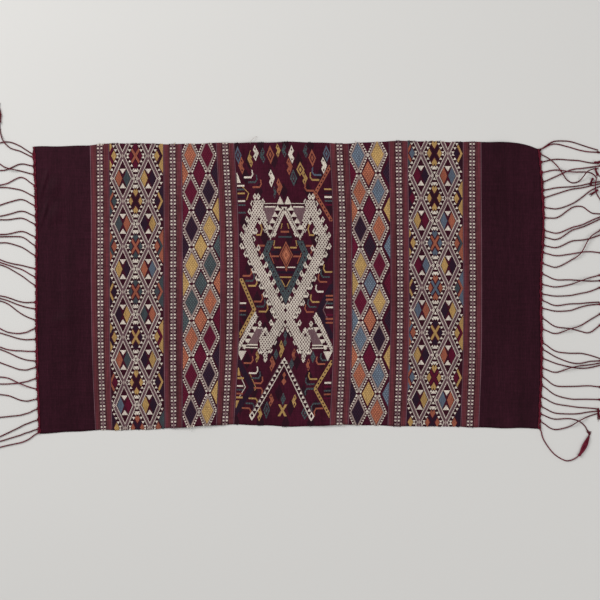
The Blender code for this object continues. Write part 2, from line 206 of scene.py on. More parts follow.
# Thread colours as they look in daylight, red, green and blue from 0 to 255
Thread = namedtuple("Thread", "name red green blue")
THREADS = table(Thread, (
    ("ground", 66, 20, 36),
    ("cream", 214, 204, 190),
    ("leaf", 214, 204, 190),
    ("pearl", 160, 144, 136),
    ("mauve", 112, 88, 92),
    ("dusk", 90, 66, 70),
    ("gold", 174, 140, 86),
    ("pale_gold", 200, 167, 108),
    ("orange", 150, 87, 66),
    ("pale_orange", 192, 120, 90),
    ("teal", 56, 70, 73),
    ("pale_teal", 84, 100, 100),
    ("blue", 84, 98, 112),
    ("pale_blue", 118, 134, 148),
    ("navy", 29, 21, 36),
    ("pale_navy", 44, 34, 48),
    ("black", 34, 14, 24),
    ("crimson", 84, 14, 38),
    ("pale_crimson", 100, 26, 48),
    ("maroon", 44, 10, 23),
))
CODES = {thread.name: code for code, thread in enumerate(THREADS)}


# Where the cloth lies

def smooth_between(places, values, at):
    """The values at the given places on a smooth curve through (places, values), level past both ends."""
    at = np.asarray(at, dtype=float)
    result = np.where(at <= places[0], values[0], values[-1]) * 1.0
    last = len(places) - 1

    def slope(k):
        low, high = max(k - 1, 0), min(k + 1, last)
        return (values[high] - values[low]) / (places[high] - places[low])

    for i in range(last):
        span = places[i + 1] - places[i]
        f = np.clip((at - places[i]) / span, 0.0, 1.0)
        rise = f * f * (3 - 2 * f)
        part = (
            values[i] * (1 - rise)
            + values[i + 1] * rise
            + span * slope(i) * f * (1 - f) ** 2
            - span * slope(i + 1) * f * f * (1 - f)
        )
        result = np.where((at > places[i]) & (at <= places[i + 1]), part, result)
    return result


STRAY_PLACES = [row.along for row in STRAYS]
HEIGHT_PLACES = (-1.0, -0.5, 0.0, 0.5, 1.0)  # from the top edge to the bottom edge, in half widths


def plan(along, across):
    """Where points of the flat rectangle lie on the surface, in millimetres."""
    share = np.asarray(across, dtype=float) / HALF_WIDTH
    strays = [smooth_between(HEIGHT_PLACES, row[1:6], -share) for row in STRAYS]
    stray_x = smooth_between(STRAY_PLACES, strays, along)
    top = smooth_between(STRAY_PLACES, [r.top_rise for r in STRAYS], along)
    bottom = smooth_between(STRAY_PLACES, [r.bottom_rise for r in STRAYS], along)
    return along + stray_x, across + top * (1 + share) / 2 + bottom * (1 - share) / 2


def heights(ridges, x, y):
    """The summed heights of soft ridges at places, in millimetres."""
    total = np.zeros(np.shape(x))
    for mid_x, mid_y, heading, length, width, height in ridges:
        turn = math.radians(heading)
        dx, dy = x - mid_x, y - mid_y
        run = np.abs(dx * math.cos(turn) + dy * math.sin(turn)) / (length / 2)
        side = (-dx * math.sin(turn) + dy * math.cos(turn)) / width
        swell = height * np.cos(np.minimum(run, 1.0) * math.pi / 2) ** 2 * np.exp(-side * side)
        total += np.where(run < 1, swell, 0.0)
    return total


def lift(x, y):
    """How high the cloth's underside stands off the surface, in millimetres."""
    coarse = np.maximum(0.0, heights(RIDGES, x, y) - RIDGE_FLOOR)
    return np.maximum(0.0, coarse + heights(CREASES, x, y))


def on_cloth(u, v, height):
    """Points at a height over the cloth's underside, as rows of x, y and z in metres."""
    x, y = plan(u, v)
    return np.stack([x, y, lift(x, y) + height], axis=-1) * MM


# Materials

def linear(value):
    share = value / 255
    return share / 12.92 if share <= 0.04045 else ((share + 0.055) / 1.055) ** 2.4


def tone(red, green, blue, gain=1.0):
    return (linear(red) * gain, linear(green) * gain, linear(blue) * gain, 1.0)


SHEEN_ROUGHNESS = 0.4
ROUGHNESS_SPREAD = 0.08


class Nodes:
    """A short way to build one material's node tree."""

    def __init__(self, name):
        self.material = bpy.data.materials.new(name)
        self.material.use_nodes = True
        self.tree = self.material.node_tree
        self.shader = self.tree.nodes["Principled BSDF"]

    def add(self, kind, **settings):
        node = self.tree.nodes.new(kind)
        for key, value in settings.items():
            setattr(node, key, value)
        return node

    def link(self, output, socket):
        self.tree.links.new(output, socket)

    def coordinates(self, scale):
        """Object coordinates scaled by (x, y, z), in turns per metre."""
        source = self.add("ShaderNodeTexCoord")
        mapping = self.add("ShaderNodeMapping")
        mapping.inputs["Scale"].default_value = scale
        self.link(source.outputs["Object"], mapping.inputs["Vector"])
        return mapping.outputs["Vector"]

    def noise(self, scale, detail=2.0, roughness=0.5):
        """Noise over object coordinates that are scaled by (x, y, z)."""
        node = self.add("ShaderNodeTexNoise")
        node.inputs["Scale"].default_value = 1.0
        node.inputs["Detail"].default_value = detail
        node.inputs["Roughness"].default_value = roughness
        self.link(self.coordinates(scale), node.inputs["Vector"])
        return node.outputs["Fac"]

    def spread(self, value, low, high):
        """The value stretched so that its middle range 0.3 to 0.7 runs from low to high."""
        node = self.add("ShaderNodeMapRange")
        node.inputs["From Min"].default_value = 0.3
        node.inputs["From Max"].default_value = 0.7
        node.inputs["To Min"].default_value = low
        node.inputs["To Max"].default_value = high
        self.link(value, node.inputs["Value"])
        return node.outputs["Result"]

    def varied(self, scale, detail, low, high, roughness=0.5):
        """A factor between low and high that follows noise."""
        return self.spread(self.noise(scale, detail, roughness), low, high)

    def product(self, result, *factors):
        for factor in factors:
            result = self.math("MULTIPLY", result, factor)
        return result

    def math(self, operation, first, second):
        node = self.add("ShaderNodeMath", operation=operation)
        for socket, value in zip(node.inputs, (first, second)):
            if isinstance(value, (int, float)):
                socket.default_value = value
            else:
                self.link(value, socket)
        return node.outputs["Value"]

    def mix(self, factor, first, second, blend="MIX"):
        node = self.add("ShaderNodeMix", data_type="RGBA", blend_type=blend)
        for socket, value in ((node.inputs[0], factor), (node.inputs[6], first), (node.inputs[7], second)):
            if isinstance(value, (int, float, tuple)):
                socket.default_value = value
            else:
                self.link(value, socket)
        return node.outputs[2]

    def rgb(self, colour):
        node = self.add("ShaderNodeRGB")
        node.outputs[0].default_value = colour
        return node.outputs[0]

    def shade(self, colour, factor):
        """Gives the shader the colour, made darker or lighter by a factor."""
        node = self.add("ShaderNodeVectorMath", operation="SCALE")
        self.link(colour, node.inputs[0])
        self.link(factor, node.inputs["Scale"])
        self.link(node.outputs["Vector"], self.shader.inputs["Base Color"])

    def bump(self, height, strength, distance_mm):
        node = self.add("ShaderNodeBump")
        node.inputs["Strength"].default_value = strength
        node.inputs["Distance"].default_value = distance_mm * MM
        self.link(height, node.inputs["Height"])
        self.link(node.outputs["Normal"], self.shader.inputs["Normal"])

    def finish(self, roughness, sheen, sheen_tint, specular):
        inputs = self.shader.inputs
        inputs["Sheen Weight"].default_value = sheen
        inputs["Sheen Roughness"].default_value = SHEEN_ROUGHNESS
        inputs["Sheen Tint"].default_value = sheen_tint
        inputs["Specular IOR Level"].default_value = specular
        fibres = self.varied((900, 900, 900), 1, roughness - ROUGHNESS_SPREAD, roughness + ROUGHNESS_SPREAD)
        self.link(fibres, inputs["Roughness"])
        return self.material


def thread_material(thread):
    """Silk floats of one colour: each pick a little lighter or darker, with fibres along it."""
    nodes = Nodes("silk_" + thread.name)
    colour = tone(thread.red, thread.green, thread.blue)
    streaks = nodes.varied((1100, 60, 60), 1, 0.8, 1.2)
    patches = nodes.varied((22, 22, 22), 3, 0.88, 1.12)
    specks = nodes.varied((1500, 700, 700), 2, 0.86, 1.14)
    nodes.shade(nodes.rgb(colour), nodes.product(streaks, patches, specks))
    nodes.bump(nodes.noise((2600, 260, 800)), 0.5, 0.12)
    return nodes.finish(0.58, 0.05, colour, 0.07)


def weave_height(nodes):
    """The threads of the ground weave, weft across the cloth and warp along it, of uneven thickness."""
    return nodes.math("ADD", nodes.noise((900, 40, 40)), nodes.noise((40, 1100, 40)))


def weave_tones(nodes):
    """How much lighter or darker each place of the ground weave is."""
    weft_streaks = nodes.varied((560, 34, 34), 3, 0.8, 1.2)
    warp_streaks = nodes.varied((26, 520, 26), 3, 0.84, 1.16)
    bands = nodes.varied((45, 1.6, 1.6), 3, 0.82, 1.18)
    clouds = nodes.varied((14, 9, 9), 4, 0.86, 1.14, roughness=0.6)
    return nodes.product(weft_streaks, warp_streaks, bands, clouds)


def ground_material(name, colour, slub):
    """Plain silk: threads both ways, a little lighter where a thick place in a thread comes up."""
    nodes = Nodes(name)
    nodes.shade(nodes.mix(nodes.varied((640, 240, 240), 2, 0, 0.5), colour, slub), weave_tones(nodes))
    nodes.bump(weave_height(nodes), 0.35, 0.2)
    return nodes.finish(0.62, 0.05, slub, 0.06)


# The warp stripes of a border, from its middle outwards: where each begins, in steps, and its colour
Stripe = namedtuple("Stripe", "from_step red green blue")
BORDER_STRIPES = table(Stripe, (
    (0, 64, 28, 38),
    (3.4, 60, 26, 30),
    (4.2, 87, 45, 47),
    (5, 72, 33, 39),
    (5.7, 91, 40, 46),
    (6.4, 80, 34, 42),
    (7, 90, 45, 49),
    (7.7, 75, 29, 41),
    (8.6, 98, 72, 78),
    (9.2, 50, 17, 30),
))
BORDER_HALF = 9.7
RAMP_END = BORDER_HALF + 0.3
UV_NAME = "OFBake"


def border_material(name, middle):
    """The warp stripes of one border, by the distance from its middle along the flat cloth."""
    nodes = Nodes(name)
    uv = nodes.add("ShaderNodeUVMap", uv_map=UV_NAME)
    split = nodes.add("ShaderNodeSeparateXYZ")
    nodes.link(uv.outputs["UV"], split.inputs["Vector"])
    along = nodes.math("MULTIPLY", nodes.math("SUBTRACT", split.outputs["X"], 0.5), 2 * HALF_LENGTH)
    away = nodes.math("ABSOLUTE", nodes.math("SUBTRACT", along, middle), 0.0)
    share = nodes.math("DIVIDE", away, RAMP_END * STEP)
    ramp = nodes.add("ShaderNodeValToRGB")
    ramp.color_ramp.interpolation = "CONSTANT"
    elements = ramp.color_ramp.elements
    for k, stripe in enumerate(BORDER_STRIPES):
        element = elements[k] if k < 2 else elements.new(1.0)
        element.position = stripe.from_step / RAMP_END
        element.color = tone(stripe.red, stripe.green, stripe.blue)
    nodes.link(share, ramp.inputs["Fac"])
    picks = nodes.varied((700, 10, 10), 2, 0.74, 1.26)
    nodes.shade(ramp.outputs["Color"], nodes.product(weave_tones(nodes), picks))
    nodes.bump(weave_height(nodes), 0.45, 0.22)
    return nodes.finish(0.6, 0.06, tone(150, 70, 80), 0.07)


def yarn_material(name, colour):
    """Plied silk yarn: fine fibres, darker in its grooves by its own shape, worn lighter in places."""
    nodes = Nodes(name)
    patches = nodes.varied((90, 90, 90), 3, 0.72, 1.3)
    fibres = nodes.varied((1800, 1800, 1800), 2, 0.8, 1.2)
    nodes.shade(nodes.rgb(colour), nodes.product(patches, fibres))
    nodes.bump(nodes.noise((2200, 2200, 2200)), 0.5, 0.15)
    return nodes.finish(0.6, 0.12, tone(190, 60, 80), 0.15)


# The chart: one column for each pick of pattern weft, one row for each place where it can rise or sink
PICK = 0.4
SHED = 0.25
PICKS = round(2 * HALF_LENGTH / (PICK * STEP))
SHEDS = round(2 * HALF_WIDTH / (SHED * STEP))
PICK_PLACES = (np.arange(PICKS) + 0.5) * PICK - HALF_LENGTH / STEP
SHED_PLACES = (np.arange(SHEDS) + 0.5) * SHED - HALF_WIDTH / STEP
TOP = HALF_WIDTH / STEP
chart = np.zeros((PICKS, SHEDS), dtype=np.uint8)


# The letters that stand for colours in lists. A dot stands for no colour.
LETTERS = {
    "w": "cream", "o": "orange", "t": "teal", "g": "gold", "n": "navy",
    "b": "blue", "c": "crimson", "k": "black", "m": "maroon", ".": None,
}


def named(letters):
    return tuple(LETTERS[letter] for letter in letters)


def groups(letters):
    """The colours of several places, each place with a few letters of its own."""
    return [named(group) for group in letters.split()]


def shares(count):
    """The middles of count equal parts, as shares of the whole."""
    return (np.arange(count) + 0.5) / count


class Field:
    """A part of the chart between two picks, with its own middle. All places and sizes are in steps."""

    def __init__(self, left, right, mid_u=0.0, mid_v=0.0):
        self.left, self.right = left, right
        self.mid_u, self.mid_v = mid_u, mid_v

    def paint(self, colour, box, inside):
        """Colours the cells in the box (left, right, low, high) for which inside(u, v) holds."""
        left = max(self.left, box[0] + self.mid_u)
        right = min(self.right, box[1] + self.mid_u)
        first, last = np.searchsorted(PICK_PLACES, (left, right))
        low, high = np.searchsorted(SHED_PLACES, (box[2] + self.mid_v, box[3] + self.mid_v))
        if first >= last or low >= high:
            return
        u = PICK_PLACES[first:last, None] - self.mid_u
        v = SHED_PLACES[None, low:high] - self.mid_v
        cells = chart[first:last, low:high]
        cells[np.broadcast_to(inside(u, v), cells.shape)] = CODES[colour]

    def lozenge(self, colour, a, b, half_w, half_h):
        box = (a - half_w, a + half_w, b - half_h, b + half_h)
        self.paint(colour, box, lambda u, v: np.abs(u - a) / half_w + np.abs(v - b) / half_h <= 1)

    def triangle(self, colour, a, base, half_w, height):
        """A triangle on a level base. It points down where the height is below 0."""
        box = (a - half_w, a + half_w, min(base, base + height), max(base, base + height))
        self.paint(colour, box, lambda u, v: np.abs(u - a) <= half_w * (1 - (v - base) / height))

    def bar(self, colour, left, right, b, thick):
        self.paint(colour, (left, right, b - thick / 2, b + thick / 2), lambda u, v: True)

    def stroke(self, colour, start, end, wide):
        """A slanting band whose width is measured along the picks."""
        (a0, b0), (a1, b1) = start, end
        lean = (a1 - a0) / (b1 - b0)
        box = (min(a0, a1) - wide, max(a0, a1) + wide, min(b0, b1), max(b0, b1))
        self.paint(colour, box, lambda u, v: np.abs(u - a0 - lean * (v - b0)) <= wide / 2)

    def speckle(self, within, colour, pitch, grain):
        """Small lozenges in rows, each second row set off by half a pitch, on cells of the colour within."""
        first, last = np.searchsorted(PICK_PLACES, (self.left, self.right))
        u = PICK_PLACES[first:last, None] - self.mid_u
        v = SHED_PLACES[None, :] - self.mid_v
        row = np.round(v / pitch[1])
        off = u + (row % 2) * pitch[0] / 2
        du = np.abs(off - np.round(off / pitch[0]) * pitch[0]) / grain[0]
        dv = np.abs(v - row * pitch[1]) / grain[1]
        cells = chart[first:last]
        cells[(du + dv <= 1) & (cells == CODES[within])] = CODES[colour]


# Borders: the ladder of small white tufts on each, with a dimmer lattice between
BORDER_MIDDLES = (-301.8, -185.3, -96.5, 84.2, 176.6, 293.0)  # millimetres along the flat cloth
LADDER_PERIOD = 10.4
LADDER_STARTS = (1.0, 4.5, 7.0, 2.5, 6.0, 9.0)

# One period of the ladder: colour, distance from its middle, distance down, half width and half height
Rung = namedtuple("Rung", "colour a down half_w half_h")
RUNGS = table(Rung, (
    ("maroon", 1.6, 1.75, 1, 0.9),
    ("maroon", 1.8, 5.2, 1.4, 1.2),
    ("maroon", 1.8, 8.7, 1.4, 1.2),
    ("pearl", 1.7, 7, 1.2, 1.05),
    ("cream", 1.65, 0, 1.3, 1.15),
    ("cream", 1.65, 3.45, 1.3, 1.15),
    ("maroon", 3.2, 7, 0.8, 1.6),
    ("maroon", 0, 0, 0.5, 0.9),
    ("maroon", 0, 3.45, 0.5, 0.9),
))


def ladder(middle, start):
    field = Field(middle / STEP - BORDER_HALF, middle / STEP + BORDER_HALF, middle / STEP)
    level = TOP - start + LADDER_PERIOD
    for side in SIDES:
        field.stroke("mauve", (side * 1.5, TOP), (side * 1.5, -TOP), 3.0)
    while level > -TOP:
        for colour, a, down, half_w, half_h in RUNGS:
            for side in SIDES:
                field.lozenge(colour, side * a, level - down, half_w, half_h)
        level -= LADDER_PERIOD


# Outer bands: tall lozenges with a double outline, small pairs within them and fourfold motifs between
OUTLINE_STROKES = ((4.2, "cream"), (2.9, "mauve"), (0.9, "dusk"))
TALL_HALF_WIDTH = 10.4
TOOTH_STEP = 4.2
TOOTH_OUT = 4.0


def toothed_row(field, column, middle, side, up, half_w, half_h):
    """White triangles, each on a dark one, in a row outside one edge of a lozenge."""
    for k in range(1, 6):
        rise = TOOTH_STEP * k - 0.7
        a = column + side * (half_w * (1 - rise / half_h) + TOOTH_OUT)
        field.triangle("maroon", a, middle + up * rise, 1.8, -up * 2.4)
        field.triangle("cream", a, middle + up * rise, 1.6, up * 2.7)


def outer_lozenge(field, column, middle, pair):
    """The fill of one tall lozenge: two small lozenges side by side, between white and dark triangles."""
    for up in (1, -1):
        field.triangle("maroon", column, middle + up * 10.2, 3.3, up * 6.4)
        field.triangle("cream", column, middle + up * 9.8, 3.3, -up * 5.2)
    for side, colour in zip(SIDES, pair):
        field.lozenge("maroon", column + side * 3.95, middle, 4.1, 10.0)
        field.lozenge(colour, column + side * 3.95, middle, 3.5, 8.7)


def fourfold(field, a, b, lozenges, cross):
    for side in SIDES:
        field.stroke(cross, (a - 4.2 * side, b + 7.4), (a + 4.2 * side, b - 7.4), 2.6)
    for side in SIDES:
        field.lozenge(lozenges, a + side * 5.2, b, 2.5, 5.2)
        field.lozenge(lozenges, a, b + side * 10.0, 3.0, 5.5)


def edge_motif(field, column, side, edge, b, colours):
    """Half of a fourfold motif at the edge of a band: a small lozenge, a chevron and a corner."""
    lozenge, chevron, corner = colours
    field.lozenge(corner, edge, b, abs(edge - column) - 4.4, 17.5)
    field.lozenge(chevron, column + side * 9.4, b, 5.2, 11.2)
    field.lozenge("ground", column + side * 8.4, b, 4.0, 8.6)
    field.lozenge(lozenge, column + side * 8.2, b, 3.2, 6.2)


def surround(field, column, b, half_w, half_h):
    """The dark band and the teeth round one tall lozenge, and its plain inside."""
    for side, up in CORNERS:
        start, end = (column + side * (half_w + 3.3), b), (column + side * 3.3, b + up * half_h)
        field.stroke("maroon", start, end, 5.4)
    for side, up in CORNERS:
        toothed_row(field, column, b, side, up, half_w, half_h)
    field.lozenge("ground", column, b, half_w, half_h)


def joint(field, column, b, half_w, half_h):
    """The small bars and the lozenge where tall lozenges meet, and the dots at the side corners of one."""
    field.bar("mauve", column - 5.2, column - 2.4, b, 0.7)
    field.bar("mauve", column + 2.4, column + 5.2, b, 0.7)
    field.lozenge("pearl", column, b, 1.3, 2.6)
    for side in SIDES:
        field.lozenge("cream", column + side * half_w, b - half_h, 1.5, 1.5)
        field.lozenge("dusk", column + side * half_w, b - half_h, 0.6, 0.6)


def outer_band(left, right, columns, first, period, pairs, middles, edges):
    field = Field(left, right)
    half_w, half_h = TALL_HALF_WIDTH, period / 2
    between = sum(columns) / 2
    motif_heights = [first - period * k for k in range(len(middles))]
    lozenge_heights = [first - period * (k + 0.5) for k in range(-1, len(middles))]
    for b, motif, left_edge, right_edge in zip(motif_heights, middles, *edges):
        fourfold(field, between, b, *motif)
        edge_motif(field, columns[0], -1, left, b, left_edge)
        edge_motif(field, columns[1], 1, right, b, right_edge)
    for k, b in enumerate(lozenge_heights, -1):
        for n, column in enumerate(columns):
            surround(field, column, b, half_w, half_h)
            if 0 <= k < len(pairs[n]):
                outer_lozenge(field, column, b, pairs[n][k])
        cluster(field, between, b)
    for wide, colour in OUTLINE_STROKES:
        for b in lozenge_heights:
            for column in columns:
                for side, up in CORNERS:
                    field.stroke(colour, (column + side * half_w, b), (column, b + up * half_h), wide)
    for b in motif_heights:
        for column in columns:
            joint(field, column, b, half_w, half_h)


def cluster(field, a, b):
    """The small white knot of dots between two tall lozenges."""
    for up in (1, -1):
        field.triangle("maroon", a, b + up * 4.2, 3.4, up * 8.0)
        field.triangle("cream", a, b + up * 6.4, 2.9, up * 3.6)
        field.bar("maroon", a - 2.6, a + 2.6, b + up * 5.2, 1.3)
        field.lozenge("cream", a, b + up * 3.0, 1.1, 1.4)
        for side in SIDES:
            field.lozenge("cream", a + side * 1.7, b + up * 1.1, 0.8, 0.9)


# Inner bands: lozenges in an offset lattice, each with a white outline and a row of white teeth
def inner_band(left, right, columns, first, period, rows, halves, inner):
    field = Field(left, right)
    between = sum(columns) / 2
    for k in range(-1, len(rows[0])):
        b = first - period * (k + 0.5)
        if 0 <= k < len(inner):
            field.lozenge(inner[k], between, b, 6.2, 12.4)
            field.lozenge(halves[0][k], left, b, 6.3, 12.6)
            field.lozenge(halves[1][k], right, b, 6.3, 12.6)
    for k in range(-1, len(rows[0]) + 1):
        b = first - period * k
        for n, column in enumerate(columns):
            inner_lozenge(field, column, b, period, rows[n][k] if 0 <= k < len(rows[n]) else "ground")
    for k in range(-1, len(rows[0])):
        for column in columns:
            junction(field, column, first - period * (k + 0.5))


def inner_lozenge(field, column, b, period, colour):
    half_w, half_h = 7.8, period / 2 - 0.8
    for side, up in CORNERS:
        for n in range(7):
            a = column + side * (half_w + 1.2 - 1.13 * n)
            level = b + up * (1.1 + 2.5 * n)
            field.triangle("cream", a, level - up * 0.9, 1.3, up * 2.1)
    field.lozenge("pearl", column, b, half_w, half_h)
    field.lozenge("dusk", column, b, half_w - 1.2, half_h * (half_w - 1.2) / half_w - 1.0)
    field.lozenge(colour, column, b, half_w - 1.5, half_h * (half_w - 1.5) / half_w - 1.4)


def junction(field, column, b):
    for side, up in CORNERS:
        field.lozenge("cream", column + side * 1.9, b + up * 1.7, 1.2, 1.2)
    field.bar("maroon", column - 3.0, column + 3.0, b, 0.55)


# The middle panel
PANEL_LEFT, PANEL_RIGHT = -50.6, 42.9
PANEL_MIDDLE = -4.5
panel = Field(PANEL_LEFT, PANEL_RIGHT, PANEL_MIDDLE)


# The great mirrored figure, for its right side: the bands of white leaves, from, to and width
Limb = namedtuple("Limb", "a0 b0 a1 b1 wide")
LIMBS = table(Limb, (
    (26.4, 84.6, 31.5, 64.2, 7),
    (31.5, 64.2, 38.2, 46, 8.6),
    (24.6, 82, 20.6, 63, 6.8),
    (20.6, 63, 14.6, 47.5, 4.8),
    (26.4, 83, 25.6, 62.6, 6.4),
    (38.6, 47, 31, 24.2, 10.2),
    (31, 24.2, 16.2, -5.8, 10.4),
    (16.2, -5.8, 1.2, -35.5, 10.6),
    (-1, -27.5, 8, -43, 10.2),
    (8, -43, 19, -66, 9.6),
    (25.2, -43.6, 21, -66, 6),
    (20.4, -65, 18.8, -73.5, 4.4),
))

# The small leaf loops beside the limbs: the first and last of a row, how many, and the side they hang from
Row = namedtuple("Row", "a0 b0 a1 b1 count link")
LEAF_ROWS = table(Row, (
    (31.6, 80.8, 43.2, 49.4, 5, -1),
    (43.6, 38.2, 13.4, -26.6, 9, -1),
    (27.2, 36.2, 4.8, -15, 7, 1),
    (29.4, 53.2, 31.8, 45, 2, 1),
    (19.4, 54.8, 19.4, 54.8, 1, -1),
    (10.8, 50.6, 10.8, 50.6, 1, 1),
    (21.4, 82.6, 21.4, 82.6, 1, 1),
    (25.4, 88, 28.8, 88, 2, 0),
    (6.2, -49.2, 14.2, -66.4, 3, 1),
    (24.8, -67.4, 24.8, -67.4, 1, -1),
    (25.6, -39.8, 25.6, -39.8, 1, 0),
    (10.6, -31.4, 14, -38.8, 2, -1),
    (2.8, -45, 2.8, -45, 1, 0),
    (18.9, -75.4, 18.9, -75.4, 1, 0),
))
LEAF_PITCH = (2.8, 2.0)
LEAF_GRAIN = (0.8, 1.15)
FINE_GRAIN = (0.7, 1.0)


def leaf_loops(draw):
    """Calls draw(a, b, link) for every small loop of the right side."""
    for a0, b0, a1, b1, count, link in LEAF_ROWS:
        for k in range(count):
            share = k / max(1, count - 1)
            draw(a0 + (a1 - a0) * share, b0 + (b1 - b0) * share, link)


def big_figure():
    """The great mirrored figure: two peaked limbs that meet in the middle and end in feet."""
    for side in SIDES:
        def loop(a, b, link):
            panel.lozenge("cream", side * (a - link * 0.3), b, 2.0, 3.6)
            panel.lozenge("maroon", side * (a - link * 0.3), b + 0.2, 0.7, 1.7)

        def tie(a, b, link):
            panel.lozenge("cream", side * (a + link * 1.7), b - 1.8, 1.5, 1.8)

        leaf_loops(loop)
        for a0, b0, a1, b1, wide in LIMBS:
            panel.stroke("maroon", (side * a0, b0), (side * a1, b1), wide + 1.8)
        leaf_loops(tie)
    for side in SIDES:
        for a0, b0, a1, b1, wide in LIMBS:
            panel.stroke("leaf", (side * a0, b0), (side * a1, b1), wide)
        panel.lozenge("leaf", side * 38.6, 46.0, 5.6, 8.4)
        panel.lozenge("leaf", side * 19.4, -54.0, 6.4, 10.0)
    panel.lozenge("leaf", 0.0, -32.0, 8.0, 12.0)
    panel.speckle("leaf", "dusk", LEAF_PITCH, LEAF_GRAIN)
    for side in SIDES:
        panel.triangle("maroon", side * 25.7, 64.2, 1.6, 3.4)
        panel.lozenge("cream", side * 24.9, 61.4, 1.7, 2.0)
        panel.triangle("maroon", side * 20.0, -52.4, 1.7, 3.6)
        panel.lozenge("cream", side * 19.8, -45.6, 1.8, 2.4)
        panel.lozenge("cream", side * 2.3, -20.8, 1.7, 2.6)
    for b in (-26.2, -37.9):
        panel.lozenge("maroon", 0.0, b, 1.7, 2.6)


def side_strokes(side, rows):
    """Slanting bands on one side of the panel, in rows of colour, start, end and width."""
    for colour, (a0, b0), (a1, b1), wide in rows:
        panel.stroke(colour, (side * a0, b0), (side * a1, b1), wide)


def level_bar(colour, side, near, far, b, thick):
    panel.bar(colour, min(side * near, side * far), max(side * near, side * far), b, thick)


def sawtooth(side, a, base, dark_half, white_half, height):
    """A white triangle and a dark one back to back. The white one points down where height is below 0."""
    panel.triangle("cream", side * a, base, white_half, height)
    panel.triangle("maroon", side * a, base, dark_half, -0.92 * height)


def roof():
    """The white saw-tooth roof over the middle lozenge, with mauve fields in its corners."""
    for side in SIDES:
        panel.triangle("mauve", side * 14.8, 77.0, 6.6, -21.0)
        level_bar("cream", side, 7.6, 20.6, 80.9, 0.9)
        level_bar("maroon", side, 7.8, 20.0, 79.3, 1.3)
        level_bar("cream", side, 8.8, 19.4, 77.5, 1.4)
        panel.stroke("leaf", (side * 13.0, 51.0), (side * 0.4, 77.6), 7.2)
        panel.triangle("leaf", side * 14.9, 56.5, 5.2, -12.5)
        panel.stroke("dusk", (side * 13.2, 50.4), (side * 1.4, 75.4), 0.7)
        panel.stroke("cream", (side * 10.6, 50.4), (side * -0.8, 74.0), 1.0)
        panel.speckle("leaf", "dusk", LEAF_PITCH, FINE_GRAIN)
        for k in range(5):
            sawtooth(side, 3.7 + 2.85 * k, 80.0 - 6.3 * k, 2.4, 3.1, 5.4)
        panel.triangle("cream", side * 3.8, 80.0, 3.6, 8.2)
        panel.triangle("maroon", side * 14.8, 53.8, 2.5, -4.8)
    panel.lozenge("maroon", 0.0, 75.0, 1.0, 2.2)


# The middle lozenge: its outline as corners of the right side, its level bars and its strokes
LOZENGE_CORNERS = (14.6, 43.8), (20.2, 29.2), (1.6, -9.5)
WHOLE_BARS = (  # height, half length, colour, thickness
    (52.5, 4.2, "orange", 1.8),
    (47.4, 6.6, "teal", 1.6),
    (16.9, 9.6, "cream", 1.4),
    (11.9, 8.2, "navy", 2.6),
    (7.0, 5.8, "gold", 1.7),
)
SIDE_BARS = (  # height, inner end, outer end, colour, thickness
    (36.7, 4.4, 11.4, "gold", 1.7),
    (32.0, 6.6, 14.2, "navy", 2.8),
    (27.8, 6.4, 15.6, "orange", 1.8),
    (49.4, 23.8, 28.8, "gold", 1.6),
    (38.5, 20.6, 28.2, "orange", 1.9),
)
LINING_STROKES = (
    ("orange", (15.8, 31.5), (11.6, 20.5), 0.9),
    ("gold", (2.6, 61.0), (3.9, 55.5), 0.9),
    ("gold", (10.6, 44.0), (11.6, 38.0), 0.9),
    ("gold", (4.4, 4.6), (0.6, -2.8), 1.0),
    ("gold", (24.6, 61.0), (22.8, 55.5), 1.3),
    ("gold", (22.8, 55.5), (24.4, 49.6), 1.3),
    ("orange", (26.4, 36.0), (25.2, 30.5), 0.9),
)
RINGS = (  # half width, half height, colour
    (7.7, 15.6, "maroon"),
    (6.8, 13.9, "orange"),
    (5.6, 11.4, "maroon"),
    (4.9, 10.0, "orange"),
    (2.9, 5.8, "pale_orange"),
    (1.5, 3.0, "orange"),
)


def teal_lozenge():
    high, outer, low = LOZENGE_CORNERS
    for side in SIDES:
        side_strokes(side, (("maroon", high, outer, 8.0), ("maroon", outer, low, 8.0)))
    for side in SIDES:
        side_strokes(side, (("teal", high, outer, 6.4), ("teal", outer, low, 6.6)))
    panel.triangle("teal", 0.0, -7.0, 5.4, -14.0)
    panel.speckle("teal", "pale_teal", (2.6, 2.2), (0.6, 1.1))
    for side in SIDES:
        for (a0, b0), (a1, b1), count in ((outer, low, 8), (high, outer, 2)):
            for share in shares(count):
                panel.lozenge("black", side * (a0 + (a1 - a0) * share), b0 + (b1 - b0) * share, 0.9, 1.3)
    for b, half, colour, thick in WHOLE_BARS:
        panel.bar(colour, -half, half, b, thick)
    for side in SIDES:
        for b, near, far, colour, thick in SIDE_BARS:
            level_bar(colour, side, near, far, b, thick)
        side_strokes(side, LINING_STROKES)
    for half_w, half_h, colour in RINGS:
        panel.lozenge(colour, 0.6, 29.2, half_w, half_h)
    panel.lozenge("orange", 0.6, 14.8, 1.2, 2.4)


def hooks(letters, side, a, b, rise, step_a=-2.7, step_b=-5.0, long=7.6):
    """A group of J hooks: level bars whose inner ends turn up, or down where rise is below 0."""
    for k, colour in enumerate(named(letters)):
        far, level = a + step_a * k, b + step_b * k
        near = far - long
        bend = (near - 1.2, level + rise * 0.4)
        level_bar(colour, side, near, far, level, 1.8)
        side_strokes(side, ((colour, (near + 0.4, level), bend, 1.5),))
        side_strokes(side, ((colour, bend, (near - 0.6, level + rise), 1.2),))


DOT_PITCH = 3.4


